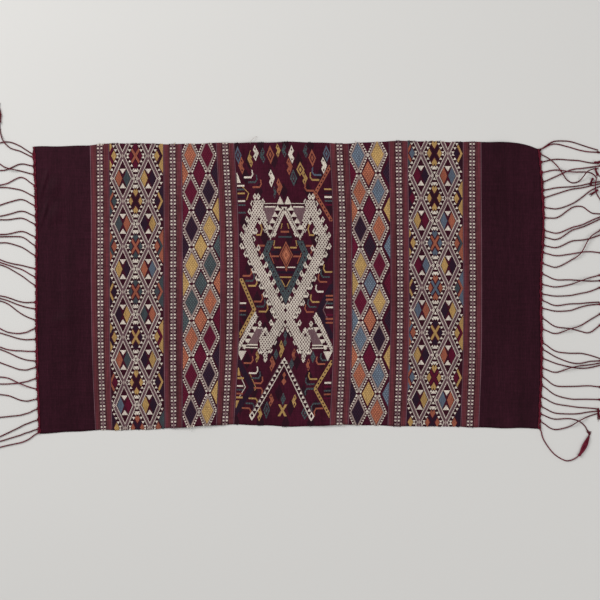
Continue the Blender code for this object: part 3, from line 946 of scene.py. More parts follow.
def zigzag(colour, side, places, wide, dots=None):
    """A band at the panel's edge that bends towards the middle, with a row of dots along it."""
    for (a0, b0), (a1, b1) in zip(places, places[1:]):
        panel.stroke(colour, (side * a0, b0), (side * a1, b1), wide)
        if dots:
            for share in shares(round(abs(b1 - b0) / DOT_PITCH)):
                panel.lozenge(dots, side * (a0 + (a1 - a0) * share), b0 + (b1 - b0) * share, 0.9, 1.1)


def pocket(letters, side, inner, b, step_b=-3.9, outer=47.5, wide=1.8):
    """Short level bars between the arms of a zigzag and the panel's edge."""
    for k, colour in enumerate(named(letters)):
        if colour:
            level_bar(colour, side, inner, outer, b + step_b * k, wide)


def side_figures():
    zigzag("gold", -1, ((45.0, 5.5), (31.4, -25.8), (46.6, -54.5)), 3.9, "maroon")
    zigzag("navy", 1, ((46.2, 0.0), (33.7, -25.8), (46.9, -55.0)), 5.2)
    zigzag("mauve", 1, ((42.4, -15.5), (37.4, -25.8), (41.8, -35.0)), 0.9)
    zigzag("orange", 1, ((48.0, 120.5), (31.0, 91.4), (46.5, 63.5)), 3.9, "maroon")
    zigzag("navy", -1, ((47.0, -76.8), (30.8, -104.4), (47.2, -133.0)), 6.0)
    zigzag("cream", -1, ((42.6, -94.0), (37.4, -104.4), (42.6, -114.0)), 0.8)
    zigzag("gold", -1, ((33.6, -91.0), (27.0, -104.4), (28.0, -107.5)), 0.8)
    zigzag("gold", 1, ((47.6, -76.8), (31.6, -105.4), (48.6, -135.0)), 3.6, "maroon")
    zigzag("gold", -1, ((41.0, 98.5), (34.9, 91.4), (37.4, 84.5)), 1.1)
    pocket("wnot", -1, 39.4, -19.6)
    pocket("ootw.coo", 1, 40.0, -11.6)
    pocket("wtgnwt.t", -1, 38.6, 99.2)
    pocket("gnwtc", 1, 40.2, 95.8)
    pocket("g.wtog", -1, 39.4, -95.5)
    pocket("wctoc", 1, 40.4, -99.5)
    panel.triangle("cream", -45.5, 102.0, 3.4, 11.0)
    panel.triangle("gold", -45.4, -93.0, 2.6, 9.0)
    panel.triangle("gold", -45.4, -118.0, 2.6, -8.0)
    hooks("otg", -1, 43.0, 8.0, 7.5)
    hooks("otg", -1, 32.0, -17.8, 7.5)
    hooks("gto", 1, 46.6, 12.4, 7.5)
    hooks("w", 1, 37.6, -7.5, 7.0, long=6.4)
    hooks("gto", 1, 33.6, -17.8, 7.5)
    hooks("o", -1, 40.2, -80.2, 7.5)
    hooks("wto", -1, 34.8, -90.2, 7.0)
    hooks("o", -1, 29.0, -104.8, -6.5)
    hooks("gto", -1, 33.4, -115.6, -7.0, step_a=3.0)
    hooks("ot", 1, 40.4, -80.3, 7.5, step_a=4.0, step_b=3.6)
    hooks("gt", 1, 33.4, -95.4, 7.0)
    hooks("t", 1, 30.6, -105.0, -6.5)
    hooks("to", 1, 37.6, -120.2, -7.5, step_a=3.0)
    hooks("wto", -1, 38.6, 107.5, 7.5, step_a=-4.0)
    hooks("bg", 1, 38.0, 110.0, 7.5, step_a=-2.4)
    hooks("o", 1, 30.0, 94.0, 7.5)


def lower_saw():
    """White saw-tooth bands at the sides below the middle, with mauve corners."""
    for side in SIDES:
        panel.stroke("mauve", (side * 26.6, -45.6), (side * 31.8, -60.6), 8.4)
        panel.triangle("leaf", side * 30.4, -35.0, 3.4, 7.6)
        panel.stroke("leaf", (side * 30.2, -33.0), (side * 45.8, -67.8), 7.0)
        panel.speckle("leaf", "dusk", LEAF_PITCH, FINE_GRAIN)
        for k in range(6):
            a, base = 27.4 + 3.15 * k, -37.2 - 6.1 * k
            if k == 0:
                panel.triangle("maroon", side * a, base, 2.2, 4.8)
            else:
                sawtooth(side, a, base, 2.6, 2.7, -5.2)
        panel.triangle("cream", side * 42.8, -67.7, 4.6, -10.0)
        level_bar("cream", side, 27.2, 37.4, -61.4, 1.5)
        level_bar("maroon", side, 26.8, 38.6, -63.0, 1.3)
        level_bar("cream", side, 27.0, 38.6, -64.4, 1.1)


def roof_teeth():
    """The wide inverted V at the foot of the panel, a row of white teeth between two white lines."""
    run_a, top, bottom = 29.2, -76.0, -133.0
    for side in SIDES:
        panel.stroke("mauve", (0.0, top), (side * run_a, bottom), 5.2)
        panel.stroke("maroon", (side * 0.2, top), (side * (run_a + 0.2), bottom), 3.6)
        panel.stroke("cream", (side * -2.3, top), (side * (run_a - 2.3), bottom), 0.9)
        for share in shares(13):
            a, base = run_a * share + 0.9, top + (bottom - top) * share - 1.6
            panel.triangle("cream", side * a, base, 1.7, 3.4)
        panel.lozenge("cream", side * run_a, bottom, 3.0, 5.0)
        panel.lozenge("maroon", side * run_a, bottom + 0.4, 1.4, 2.4)
    panel.triangle("cream", 0.0, top - 1.0, 2.2, 4.0)


# Scattered small figures: colour, middle in steps, half width and half height, and which side is cut away
Figure = namedtuple("Figure", "colour a b half_w half_h cut")
FIGURES = table(Figure, (
    ("blue", -43.3, 130, 3.6, 9, 0),
    ("orange", -40, 119.5, 3.6, 9, -1),
    ("gold", -30.8, 126, 3.4, 9, -1),
    ("cream", -26.2, 131.6, 3.6, 8, 1),
    ("teal", -18.6, 129, 3.6, 8, -1),
    ("orange", -11.4, 129.6, 4, 9.4, 0),
    ("gold", -4, 134, 2.9, 7.2, 1),
    ("teal", 2.7, 133.8, 3.1, 7, -1),
    ("cream", 9.8, 130, 3.7, 9.4, -1),
    ("orange", 6.3, 118, 3.8, 9.2, 1),
    ("gold", 17.6, 115, 4, 8, 0),
    ("gold", 21, 106.5, 3.4, 7, 1),
    ("teal", 10.4, 106.4, 3.6, 8.6, 0),
    ("teal", 23.8, 133.6, 3, 7, -1),
    ("orange", 29.8, 127, 3.8, 9, 0),
    ("blue", 44.2, 131.8, 3.6, 8.6, 0),
    ("cream", 40.4, 120, 3.7, 8.8, 1),
    ("cream", -11.9, 106.2, 3.8, 9.2, 1),
    ("orange", -4.7, 97.4, 3.8, 9, 1),
    ("teal", -9.2, 92, 2, 6.6, 1),
    ("teal", 0.3, -51, 1.9, 5, 0),
    ("teal", 0.3, -58.5, 1.9, 4.2, 0),
    ("gold", -3.6, -65, 3.3, 9.2, 1),
    ("orange", 9.6, -70.5, 2.5, 6.4, -1),
    ("teal", -8.4, -70.6, 2.4, 5.8, 0),
    ("orange", -12.4, -80, 3.7, 8.2, 1),
    ("teal", 7.4, -80, 2.3, 6, 0),
    ("gold", -27.4, -73.6, 2.4, 6.2, 1),
    ("orange", 24, -81, 2.5, 6.6, -1),
    ("teal", 28.2, -73.2, 2.5, 6.2, 0),
    ("orange", 0.4, -91, 1.7, 3.4, 0),
    ("orange", 0.4, -97.6, 2.4, 4, 0),
    ("teal", 0.5, -115, 2.5, 6.6, 0),
    ("orange", -11.6, -116.4, 3.2, 6.8, 1),
    ("gold", 12, -117, 3, 7, -1),
    ("teal", -15.2, -126.6, 3.3, 9.4, 0),
    ("gold", -22, -131, 3, 7.4, 1),
    ("teal", 22.8, -129, 3.9, 7.2, 0),
))


def scattered():
    for colour, a, b, half_w, half_h, cut in FIGURES:
        panel.lozenge(colour, a, b, half_w, half_h)
        if cut:
            panel.lozenge("ground", a - cut * half_w * 0.8, b, half_w * 0.72, half_h * 0.6)
            for up in (1, -1):
                panel.lozenge("ground", a + cut * 0.1, b + up * half_h * 0.52, 0.7, 1.4)
        elif half_w > 3:
            panel.lozenge("ground", a, b, half_w * 0.62, half_h * 0.6)
            panel.lozenge(colour, a, b, half_w * 0.36, half_h * 0.36)
    for side in SIDES:
        panel.stroke("gold", (0.4 - side * 3.4, -120.5), (0.4 + side * 3.4, -132.5), 2.4)


def shadow_lattice():
    """Dark and crimson lozenges of low contrast behind the figures."""
    for row in range(-9, 10):
        for column in range(-6, 7):
            a = column * 8.2 + (row % 2) * 4.1
            b = row * 15.5
            if (row + column * 2) % 3 == 0:
                panel.lozenge("black", a, b, 4.0, 9.0)
            elif (row - column) % 3 == 0:
                panel.lozenge("crimson", a, b, 4.0, 9.0)


def middle_panel():
    shadow_lattice()
    scattered()
    side_figures()
    teal_lozenge()
    big_figure()
    roof()
    lower_saw()
    roof_teeth()


# The colours of the bands from the top down, by their letters
LEFT_PAIRS = groups("ot to gn ng ot bc gn"), groups("gn ng ob to ng gn ot")
LEFT_MIDDLES = groups("co gk to to ng gk on")
LEFT_EDGES = groups("gcg tot oto ngn gng com gnn"), groups("gkg ngn oto tot gcg ngn ott")
RIGHT_PAIRS = groups("cn gc cb bo gn ng ot"), groups("ob bo gn ng oc bo gn")
RIGHT_MIDDLES = groups("gk gk bo ob ng gc on")
RIGHT_EDGES = groups("bot cnm gng ngn obo bob gnn"), groups("ngk gng oto tob gcg cgm onn")
LEFT_INNER = named("ocngtocn"), named("cngtocng")
LEFT_INNER_HALVES = named("ocngtoc"), named("ngtocng")
LEFT_INNER_BETWEEN = named("cngtocn")
RIGHT_INNER = named("bongcbon"), named("gbocgnbo")
RIGHT_INNER_HALVES = named("cocgbon"), named("ngbcngb")
RIGHT_INNER_BETWEEN = named("ocnbocg")
INNER_PERIOD = 37.0


def draw_chart():
    outer_band(-178.9, -125.5, (-166.0, -140.5), 130.4, 45.2, LEFT_PAIRS, LEFT_MIDDLES, LEFT_EDGES)
    outer_band(120.1, 173.4, (132.4, 158.9), 130.6, 44.85, RIGHT_PAIRS, RIGHT_MIDDLES, RIGHT_EDGES)
    inner_band(-106.1, -70.0, (-97.6, -79.6), 131.0, INNER_PERIOD, LEFT_INNER, LEFT_INNER_HALVES,
               LEFT_INNER_BETWEEN)
    inner_band(62.3, 100.7, (70.6, 89.6), 129.8, INNER_PERIOD, RIGHT_INNER, RIGHT_INNER_HALVES,
               RIGHT_INNER_BETWEEN)
    for left, right in ((-106.1, -70.0), (62.3, 100.7)):
        band = Field(left, right)
        for colour in ("gold", "orange", "teal", "blue", "navy", "crimson"):
            band.speckle(colour, "pale_" + colour, (2.6, 1.9), (0.85, 1.2))
    middle_panel()
    for middle, start in zip(BORDER_MIDDLES, LADDER_STARTS):
        ladder(middle, start)


# The floats: each run of one colour on a pick becomes low bows, held down every FLOAT_CELLS cells
FLOAT_CELLS = 12
FLOAT_SHIFT = 5
FLOAT_HALF_WIDTH = 0.46  # share of a pick
FLOAT_FACES = np.array(((0, 1, 4), (1, 2, 4), (2, 3, 4), (3, 0, 4)))


def floats_between(first, last):
    """The floats on picks first to last: pick, start and end in cells, and colour code, as arrays."""
    cells = chart[first:last]
    picks, sheds = np.indices(cells.shape)
    starts = np.ones(cells.shape, dtype=bool)
    starts[:, 1:] = cells[:, 1:] != cells[:, :-1]
    starts |= (sheds + (picks * FLOAT_SHIFT)) % FLOAT_CELLS == 0
    flat = np.flatnonzero(starts)
    ends = np.append(flat[1:], cells.size)
    codes = cells.reshape(-1)[flat]
    shown = codes > 0
    flat, ends, codes = flat[shown], ends[shown], codes[shown]
    return first + flat // SHEDS, flat % SHEDS, flat % SHEDS + ends - flat, codes


def new_mesh(name, points, faces, slots):
    """A smooth mesh with a material slot for each face."""
    mesh = bpy.data.meshes.new(name)
    mesh.from_pydata(points.tolist(), [], faces)
    mesh.polygons.foreach_set("material_index", slots)
    mesh.shade_smooth()
    mesh.update()
    return mesh


def float_mesh(name, first, last, seed):
    """One mesh of all floats between two picks, each a low bow that runs across the cloth."""
    picks, starts, ends, codes = floats_between(first, last)
    chance = np.random.default_rng(seed)
    count = len(picks)
    mid = PICK_PLACES[picks] * STEP + chance.uniform(-0.03, 0.03, count)
    half = FLOAT_HALF_WIDTH * PICK * STEP * chance.uniform(0.92, 1.06, count)
    low = starts * SHED * STEP - HALF_WIDTH
    high = ends * SHED * STEP - HALF_WIDTH
    rise = FLOAT_RISE * chance.uniform(0.85, 1.15, count) * np.minimum(1.0, 0.55 + (high - low) / 4)
    corners = (
        (mid - half, low, 0 * rise), (mid + half, low, 0 * rise),
        (mid + half, high, 0 * rise), (mid - half, high, 0 * rise),
        (mid, (low + high) / 2, rise),
    )
    u, v, height = (np.stack(values, axis=1).reshape(-1) for values in zip(*corners))
    points = on_cloth(u, v, height + GROUND_TOP - FLOAT_SUNK)
    faces = (np.arange(count)[:, None, None] * len(corners) + FLOAT_FACES).reshape(-1, 3)
    mesh = new_mesh(name, points, faces.tolist(), np.repeat(codes, len(FLOAT_FACES)))
    flat_map(mesh, u, v, PICK_PLACES[first] * STEP, PICK_PLACES[last - 1] * STEP)
    return mesh


def flat_map(mesh, u, v, left, right):
    """A UV map by the place on the flat cloth."""
    layer = mesh.uv_layers.new(name=UV_NAME)
    corners = np.empty(len(mesh.loops), dtype=np.int32)
    mesh.loops.foreach_get("vertex_index", corners)
    places = np.stack([(u - left) / (right - left), (v + HALF_WIDTH) / (2 * HALF_WIDTH)], axis=-1)
    layer.data.foreach_set("uv", np.clip(places, 0.0, 1.0)[corners].reshape(-1).astype(np.float32))


def place(name, mesh, materials):
    obj = bpy.data.objects.new(name, mesh)
    for material in materials:
        obj.data.materials.append(material)
    bpy.context.scene.collection.objects.link(obj)
    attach(obj, "root")
    return obj


# Bands of the brocade: name, first and last place along the cloth in steps
Band = namedtuple("Band", "name left right")
BANDS = table(Band, (
    ("brocade_outer_left", -178.9, -125.5),
    ("brocade_inner_left", -106.1, -70),
    ("brocade_middle", PANEL_LEFT, PANEL_RIGHT),
    ("brocade_inner_right", 62.3, 100.7),
    ("brocade_outer_right", 120.1, 173.4),
))


def make_brocade(threads):
    pieces = []
    bands = list(BANDS)
    for number, middle in enumerate(BORDER_MIDDLES, 1):
        bands.append(Band(f"ladder_{number}", middle / STEP - BORDER_HALF, middle / STEP + BORDER_HALF))
    for seed, band in enumerate(bands):
        first, last = np.searchsorted(PICK_PLACES, (band.left, band.right))
        mesh = float_mesh(band.name, int(first), int(last), seed)
        pieces.append(place(band.name, mesh, threads))
    return pieces


# The ground cloth
CELL = 4.0
FINE_CELL = 1.6
END_OVERLAP = 1.3  # how far the cloth runs in under the edging, in millimetres


def ground_lines():
    """The lines across the cloth, in millimetres along it, and the material of each strip between them."""
    edges = [(-HALF_LENGTH, 0)]
    for number, middle in enumerate(BORDER_MIDDLES):
        edges.append((middle - BORDER_HALF * STEP, 2 + number))
        edges.append((middle + BORDER_HALF * STEP, 1 if number < len(BORDER_MIDDLES) - 1 else 0))
    edges.append((HALF_LENGTH, 0))
    lines, kinds = [], []
    for (left, kind), (right, _) in zip(edges, edges[1:]):
        count = math.ceil((right - left) / (FINE_CELL if kind == 0 else CELL))
        lines.extend(left + (right - left) * k / count for k in range(count))
        kinds.extend([kind] * count)
    return lines + [HALF_LENGTH], kinds


CORNER_DEPTH = 1.5
CORNER_DROP = 9.0
SELVEDGE = 2.5


def ramp_up(value, start, length):
    """0 up to start, 1 from start plus length, and a straight slope between."""
    return np.clip((value - start) / length, 0.0, 1.0)


def corner_cut(side, across):
    """How far the end of the cloth draws in towards its upper right corner, in millimetres."""
    return CORNER_DEPTH * ramp_up(across, 196.0, 32.0) ** 2 * (side > 0)


def corner_drop(along, across):
    """How far the upper edge sinks towards its right end, in millimetres."""
    return CORNER_DROP * ramp_up(along, 364.0, 38.0) ** 2 * ramp_up(across, 120.0, 108.0)


def wander(along):
    """How far a selvedge strays outwards from a straight line, in millimetres."""
    return 0.5 * np.sin(along / 23.0) + 0.4 * np.sin(along / 9.1 + 1.0)


def drawn(u, v):
    """Places of the flat rectangle drawn in at the corner, out under the edging and along the selvedges."""
    drawn_u = u - corner_cut(1, v) * ramp_up(u, HALF_LENGTH - 30.0, 30.0)
    drawn_u += END_OVERLAP * np.sign(u) * ramp_up(np.abs(u), HALF_LENGTH - 1.0, 1.0)
    edge = ramp_up(np.abs(v), HALF_WIDTH - SELVEDGE, SELVEDGE)
    return drawn_u, v + wander(u) * edge * np.sign(v) - corner_drop(u, v)


def ground_materials():
    materials = [
        ground_material("plain_silk", tone(38, 11, 21), tone(52, 19, 31)),
        ground_material("band_silk", tone(50, 11, 26), tone(70, 19, 36)),
    ]
    for number, middle in enumerate(BORDER_MIDDLES, 1):
        materials.append(border_material(f"border_silk_{number}", middle))
    return materials


def make_ground():
    lines, kinds = ground_lines()
    rows = round(2 * HALF_WIDTH / CELL) + 1
    grid = np.meshgrid(np.array(lines), np.linspace(-HALF_WIDTH, HALF_WIDTH, rows), indexing="ij")
    u, v = (places.reshape(-1) for places in grid)
    firsts = [a for strip in range(len(kinds)) for a in range(strip * rows, (strip + 1) * rows - 1)]
    faces = [(a, a + rows, a + rows + 1, a + 1) for a in firsts]
    mesh = new_mesh("ground_cloth", on_cloth(*drawn(u, v), GROUND_TOP), faces, np.repeat(kinds, rows - 1))
    flat_map(mesh, u, v, -HALF_LENGTH, HALF_LENGTH)
    obj = place("ground_cloth", mesh, ground_materials())
    solidify = obj.modifiers.new("thickness", "SOLIDIFY")
    solidify.thickness = GROUND_THICKNESS * MM
    solidify.offset = -1.0
    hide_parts("cloth")
    return obj


# Yarns: tubes along lines, joined into one mesh
def directions(line):
    """Unit vectors across and upward at each point of a line."""
    ahead = np.gradient(line, axis=0)
    ahead /= np.linalg.norm(ahead, axis=1)[:, None] + 1e-9
    across = np.cross(ahead, (0.0, 0.0, 1.0))
    across /= np.linalg.norm(across, axis=1)[:, None] + 1e-9
    return across, np.cross(across, ahead)


def around(line, turns, radii):
    """Steps from a line's points to places round it. The last axis of turns and radii runs along it."""
    across, upward = directions(line)
    return radii[..., None] * (np.cos(turns)[..., None] * across + np.sin(turns)[..., None] * upward)


class Tubes:
    """Collects tubes and turns them into one mesh with a UV map along and around each."""

    def __init__(self):
        self.points, self.faces, self.uvs, self.slots = [], [], [], []

    def add(self, line, radii, sides, slot=0, phase=0.0):
        """A closed tube of the given radii along a line of points, in millimetres."""
        line = np.asarray(line, dtype=float)
        first, rings = len(self.points), len(line)
        turns = 2 * math.pi * np.arange(sides)[:, None] / sides + phase
        rounds = line + around(line, turns, np.asarray(radii)[None, :])
        self.points.extend(rounds.transpose(1, 0, 2).reshape(-1, 3).tolist())
        for r in range(rings - 1):
            for s in range(sides):
                n = (s + 1) % sides
                a = first + r * sides
                self.faces.append((a + s, a + n, a + sides + n, a + sides + s))
                along = (r / rings, (r + 1) / rings)
                round_at = (s / sides, (s + 1) / sides)
                self.uvs.extend([(along[0], round_at[0]), (along[0], round_at[1]),
                                 (along[1], round_at[1]), (along[1], round_at[0])])
                self.slots.append(slot)
        for ring, turn in ((0, -1), (rings - 1, 1)):
            corners = [first + ring * sides + s for s in range(sides)][::turn]
            self.faces.append(tuple(corners))
            self.uvs.extend([(ring / rings, s / sides) for s in range(sides)])
            self.slots.append(slot)

    def mesh(self, name):
        mesh = new_mesh(name, np.array(self.points) * MM, self.faces, self.slots)
        layer = mesh.uv_layers.new(name=UV_NAME)
        layer.data.foreach_set("uv", np.array(self.uvs, dtype=np.float32).reshape(-1))
        return mesh


TURN_EVERY = 4  # picks
TURN_HALF = 0.9
TURN_POINTS = 7
THREAD_RADIUS = 0.3


def make_weft_turns(threads):
    """The small loops where pattern wefts turn back at the two selvedges."""
    chance = random.Random(9)
    tubes = Tubes()
    for edge, row in ((-1, chart[:, 2]), (1, chart[:, -3])):
        for pick in range(0, PICKS, TURN_EVERY):
            if not row[pick]:
                continue
            middle = PICK_PLACES[pick] * STEP
            reach = chance.uniform(0.8, 2.0)
            turn = np.linspace(0.0, math.pi, TURN_POINTS)
            u = middle + TURN_HALF * np.cos(turn) + chance.uniform(-0.5, 0.5) * np.sin(turn)
            v = edge * (HALF_WIDTH + wander(middle) - 0.9 + reach * np.sin(turn))
            line = on_cloth(u, v, GROUND_TOP - 0.1 + 0.2 * np.cos(turn)) / MM
            tubes.add(line, np.full(TURN_POINTS, THREAD_RADIUS), 5, int(row[pick]))
    return place("weft_turns", tubes.mesh("weft_turns"), threads)


# Loose ends of thread at the selvedges: place along the cloth, edge, length, lean and colour
LooseEnd = namedtuple("LooseEnd", "along edge length lean colour")
LOOSE_ENDS = table(LooseEnd, (
    (-56, 1, 12, 0.9, "pearl"),
    (-155, -1, 7, -0.4, "cream"),
    (-182, 1, 4.5, 0.3, "gold"),
    (-302, 1, 4, -0.2, "cream"),
    (-296, 1, 3.4, 0.5, "cream"),
    (90, -1, 5, 0.5, "cream"),
    (112, 1, 5, -0.6, "pearl"),
    (241, 1, 4, 0.4, "teal"),
))


def make_loose_ends(threads):
    tubes = Tubes()
    for along, edge, length, lean, colour in LOOSE_ENDS:
        share = np.linspace(0.0, 1.0, 9)
        u = along + lean * length * share ** 2
        v = edge * (HALF_WIDTH - 2.0 + length * share)
        height = GROUND_TOP + 0.2 + 0.9 * np.sin(share * math.pi) - 0.5 * share
        tubes.add(on_cloth(u, v, height) / MM, np.linspace(0.36, 0.22, 9), 5, CODES[colour])
    return place("loose_ends", tubes.mesh("loose_ends"), threads)


def resampled(points, step):
    """The smooth line through points, with a point about every step millimetres."""
    points = np.asarray(points, dtype=float)
    runs = np.concatenate([[0.0], np.cumsum(np.linalg.norm(np.diff(points, axis=0), axis=1))])
    count = max(4, round(runs[-1] / step))
    at = np.linspace(0.0, runs[-1], count + 1)
    return np.stack([smooth_between(list(runs), list(points[:, k]), at) for k in range(3)], axis=-1)


PLY_STEP = 1.2
PLY_PITCH = 5.6
PLY_OFF = 0.46  # shares of the cord's radius
PLY_RADIUS = 0.58
CORD_RADIUS = 1.12
YARN_RED = (84, 15, 29)
BRIGHT_RED = (94, 20, 38)


def plied(tubes, points, radius=CORD_RADIUS, pitch=PLY_PITCH, plies=2, slot=0, phase=0.0, sides=5):
    """A cord of twisted plies along a line."""
    line = resampled(points, PLY_STEP)
    run = np.arange(len(line)) * PLY_STEP
    for ply in range(plies):
        turn = 2 * math.pi * (run / pitch + ply / plies) + phase
        shifted = line + around(line, turn, np.full(len(line), radius * PLY_OFF))
        shifted[:, 2] = np.maximum(shifted[:, 2], radius * 0.6)
        tubes.add(shifted, np.full(len(line), radius * PLY_RADIUS), sides, slot)


def edge_point(side, across):
    """The outer side of the edging strip at a height of the cloth, in millimetres."""
    x, y = plan(side * OUTER_EDGE, across)
    return float(x), float(y)


def through(points, steps):
    """Points evenly spaced by chord along a smooth curve through the given (out, y) points."""
    runs = [0.0]
    for (out_a, y_a), (out_b, y_b) in zip(points, points[1:]):
        runs.append(runs[-1] + math.hypot(out_b - out_a, y_b - y_a))
    at = np.linspace(0.0, runs[-1], steps + 1)
    outs = smooth_between(runs, [p[0] for p in points], at)
    ys = smooth_between(runs, [p[1] for p in points], at)
    return list(zip(outs.tolist(), ys.tolist()))


def crossing(start_a, end_a, start_b, end_b):
    """Where two flat line pieces cross, or None."""
    run_a = (end_a[0] - start_a[0], end_a[1] - start_a[1])
    run_b = (end_b[0] - start_b[0], end_b[1] - start_b[1])
    cross = run_a[0] * run_b[1] - run_a[1] * run_b[0]
    if abs(cross) < 1e-9:
        return None
    off = (start_b[0] - start_a[0], start_b[1] - start_a[1])
    share_a = (off[0] * run_b[1] - off[1] * run_b[0]) / cross
    share_b = (off[0] * run_a[1] - off[1] * run_a[0]) / cross
    if 0 <= share_a <= 1 and 0 <= share_b <= 1:
        return start_a[0] + run_a[0] * share_a, start_a[1] + run_a[1] * share_a
    return None


def places_over(line, level, others):
    """Where a strand passes over lower ones, and how high it stands there."""
    found = []
    for other, other_level in others:
        if other_level >= level:
            continue
        for start_a, end_a in zip(line, line[1:]):
            for start_b, end_b in zip(other, other[1:]):
                spot = crossing(start_a, end_a, start_b, end_b)
                if spot:
                    found.append((spot, OVER_HEIGHT * (other_level + 1)))
    return found


def raised_at(point, overs):
    """How far a strand stands up at a point of its line."""
    highest = 0.0
    for spot, height in overs:
        away = math.hypot(point[0] - spot[0], point[1] - spot[1])
        share = (OVER_ENDS_AT - away) / (OVER_ENDS_AT - OVER_FULL_WITHIN)
        share = max(0.0, min(1.0, share))
        highest = max(highest, height * share * share * (3 - 2 * share))
    return highest


def all_lines(strands, wanderers):
    """Every strand as its flat line, its level and the length of its tuft."""
    rows = []
    for row in strands:
        ys = (row.at_0, row.at_20, row.at_45, row.at_60, row.at_75, row.at_92)
        rows.append((through(list(zip(STATIONS, ys)), STRAND_STEPS), row.level, row.tuft))
    for points, level, tuft_from in wanderers:
        rows.append((through(points, WANDERER_STEPS), level, 9.0 if tuft_from < 1 else 7.0))
    return rows


BUNDLE_REACHES = (-1.6, 3.0)
BUNDLE_RADIUS = 1.9
BUNDLE_PITCH = 9.0


def bundle(tubes, points, first, chance):
    """Two thick bundles of strands that bow apart, side by side over the last part of a strand."""
    tail = points[first:]
    line = np.array(tail)
    ahead = np.gradient(line[:, :2], axis=0)
    ahead /= np.linalg.norm(ahead, axis=1)[:, None]
    bow = np.sin(np.linspace(0.0, math.pi, len(line)))[:, None]
    outward = np.stack([-ahead[:, 1], ahead[:, 0], 0 * bow[:, 0]], axis=-1) * bow
    for reach in BUNDLE_REACHES:
        side_line = line + reach * outward + (0.0, 0.0, 0.7)
        plied(tubes, side_line, radius=BUNDLE_RADIUS, pitch=BUNDLE_PITCH, plies=3, slot=1, sides=6)
    for x, y, z in (tail[0], tail[len(tail) // 2], tail[-2]):
        knot(tubes, (x + chance.uniform(-1.0, 1.0), y, z + 0.8), (0.6, 0.8), chance, size=3.2)


def strand_points(side, line, raised):
    """The centre line of a strand in the frame, in millimetres."""
    root_y = line[0][1]
    highest = HALF_WIDTH - ROOT_INSET - (CORNER_DROP if side > 0 else 0.0)
    across = max(-HALF_WIDTH + ROOT_INSET, min(highest, root_y))
    edge_x, edge_y = edge_point(side, across)
    edge_x -= side * float(corner_cut(side, across))
    points = [(edge_x - side * 1.8, edge_y, ROOT_HEIGHT + 0.6)]
    for (out, y), up in zip(line[1:], raised[1:]):
        blend = max(0.0, 1 - out / ROOT_BLEND)
        points.append((edge_x + side * out, y + (edge_y - root_y) * blend, CORD_RADIUS + up))
    return points


def beyond(start, heading, along, side=0.0):
    """The flat place at a distance along a heading from a start, and off to its side."""
    x = start[0] + heading[0] * along - heading[1] * side
    return x, start[1] + heading[1] * along + heading[0] * side


KNOT_TURNS = 2.5
KNOT_STEPS = 20
BRIGHT_KNOTS = 0.4  # share of the knots


def knot(tubes, centre, heading, chance, size=2.3):
    """A wound knot: a short thick cord coiled round the strands, with a core."""
    coil = []
    for share in np.arange(KNOT_STEPS + 1) / KNOT_STEPS:
        turn = 2 * math.pi * KNOT_TURNS * share
        out = size * 0.52 * (1 - 0.25 * abs(2 * share - 1))
        x, y = beyond(centre, heading, (share - 0.5) * size * 1.5, out * math.cos(turn))
        coil.append((x, y, max(size * 0.35, centre[2] + 0.2 + out * math.sin(turn))))
    tubes.add(coil, np.full(len(coil), size * 0.34), 6, 1 if chance.random() < BRIGHT_KNOTS else 0)
    core = [(*beyond(centre, heading, share * size), centre[2] + 0.2) for share in (-0.8, -0.3, 0.3, 0.8)]
    tubes.add(core, (0.7, 1.1, 1.1, 0.7), 8, 0)


YARN_RADII = (0.42, 0.45, 0.43, 0.4, 0.38, 0.34, 0.2)


def tuft(tubes, start, heading, length, chance, yarns=11):
    """Loose yarns that fan out past a knot."""
    for k in range(yarns):
        lean = (k / (yarns - 1) - 0.5) * chance.uniform(0.18, 0.34) + chance.uniform(-0.04, 0.04)
        bend = chance.uniform(-0.12, 0.12)
        reach = length * chance.uniform(0.62, 1.0)
        level = chance.uniform(0.45, 1.9)
        points = []
        for share in np.linspace(0.0, 1.0, len(YARN_RADII)):
            along = reach * share
            side = along * (lean + bend * share) + 0.9 * (k / (yarns - 1) - 0.5)
            rise = 0.5 * math.sin(share * math.pi) * chance.random()
            z = 0.4 + (level - 0.4) * (1 - share) + rise + 0.2
            points.append((*beyond(start, heading, along, side), z))
        tubes.add(points, YARN_RADII, 4, 1 if k % 3 == 0 else 0, phase=k)


EDGING_CORDS = ((2.7, 1.15, 6.5), (1.1, 1.25, 7.4))  # inset, radius and pitch
EDGING_STEPS = 110


def edging(tubes, side, chance):
    """The twined edging: two twisted cords side by side, uneven because it is worked by hand."""
    for inset, radius, pitch in EDGING_CORDS:
        points = []
        along = side * (OUTER_EDGE - inset)
        for k in range(EDGING_STEPS + 1):
            across = -HALF_WIDTH + 2 * HALF_WIDTH * k / EDGING_STEPS
            x, y = plan(along, across - corner_drop(along, across))
            x += side * (chance.uniform(-0.7, 0.7) - corner_cut(side, across))
            points.append((float(x), float(y), 1.4 + chance.uniform(-0.1, 0.5)))
        plied(tubes, points, radius=radius, pitch=pitch, slot=1 if inset > 2 else 0, phase=inset)


# Loose tufts of broken strands that lie among the right fringe: distance out, height, heading and length
LooseTuft = namedtuple("LooseTuft", "out y heading_deg length yarns")
LOOSE_TUFTS = table(LooseTuft, (
    (84, 188, -66, 16, 12),
    (79, 172, -110, 11, 9),
    (86, 154, 212, 15, 13),
    (84, 199, 8, 18, 12),
    (88, -196, -80, 20, 12),
))


def loose_tufts(tubes, chance):
    for out, y, heading_deg, length, yarns in LOOSE_TUFTS:
        turn = math.radians(heading_deg)
        heading = (math.cos(turn), math.sin(turn))
        centre = (OUTER_EDGE + out, y, 2.6)
        knot(tubes, centre, heading, chance, size=2.6)
        tuft(tubes, centre, heading, length, chance, yarns)


def flat_heading(start, end):
    away = math.hypot(end[0] - start[0], end[1] - start[1])
    return (end[0] - start[0]) / away, (end[1] - start[1]) / away


BRIGHT_STRANDS = 0.3  # share of the strands


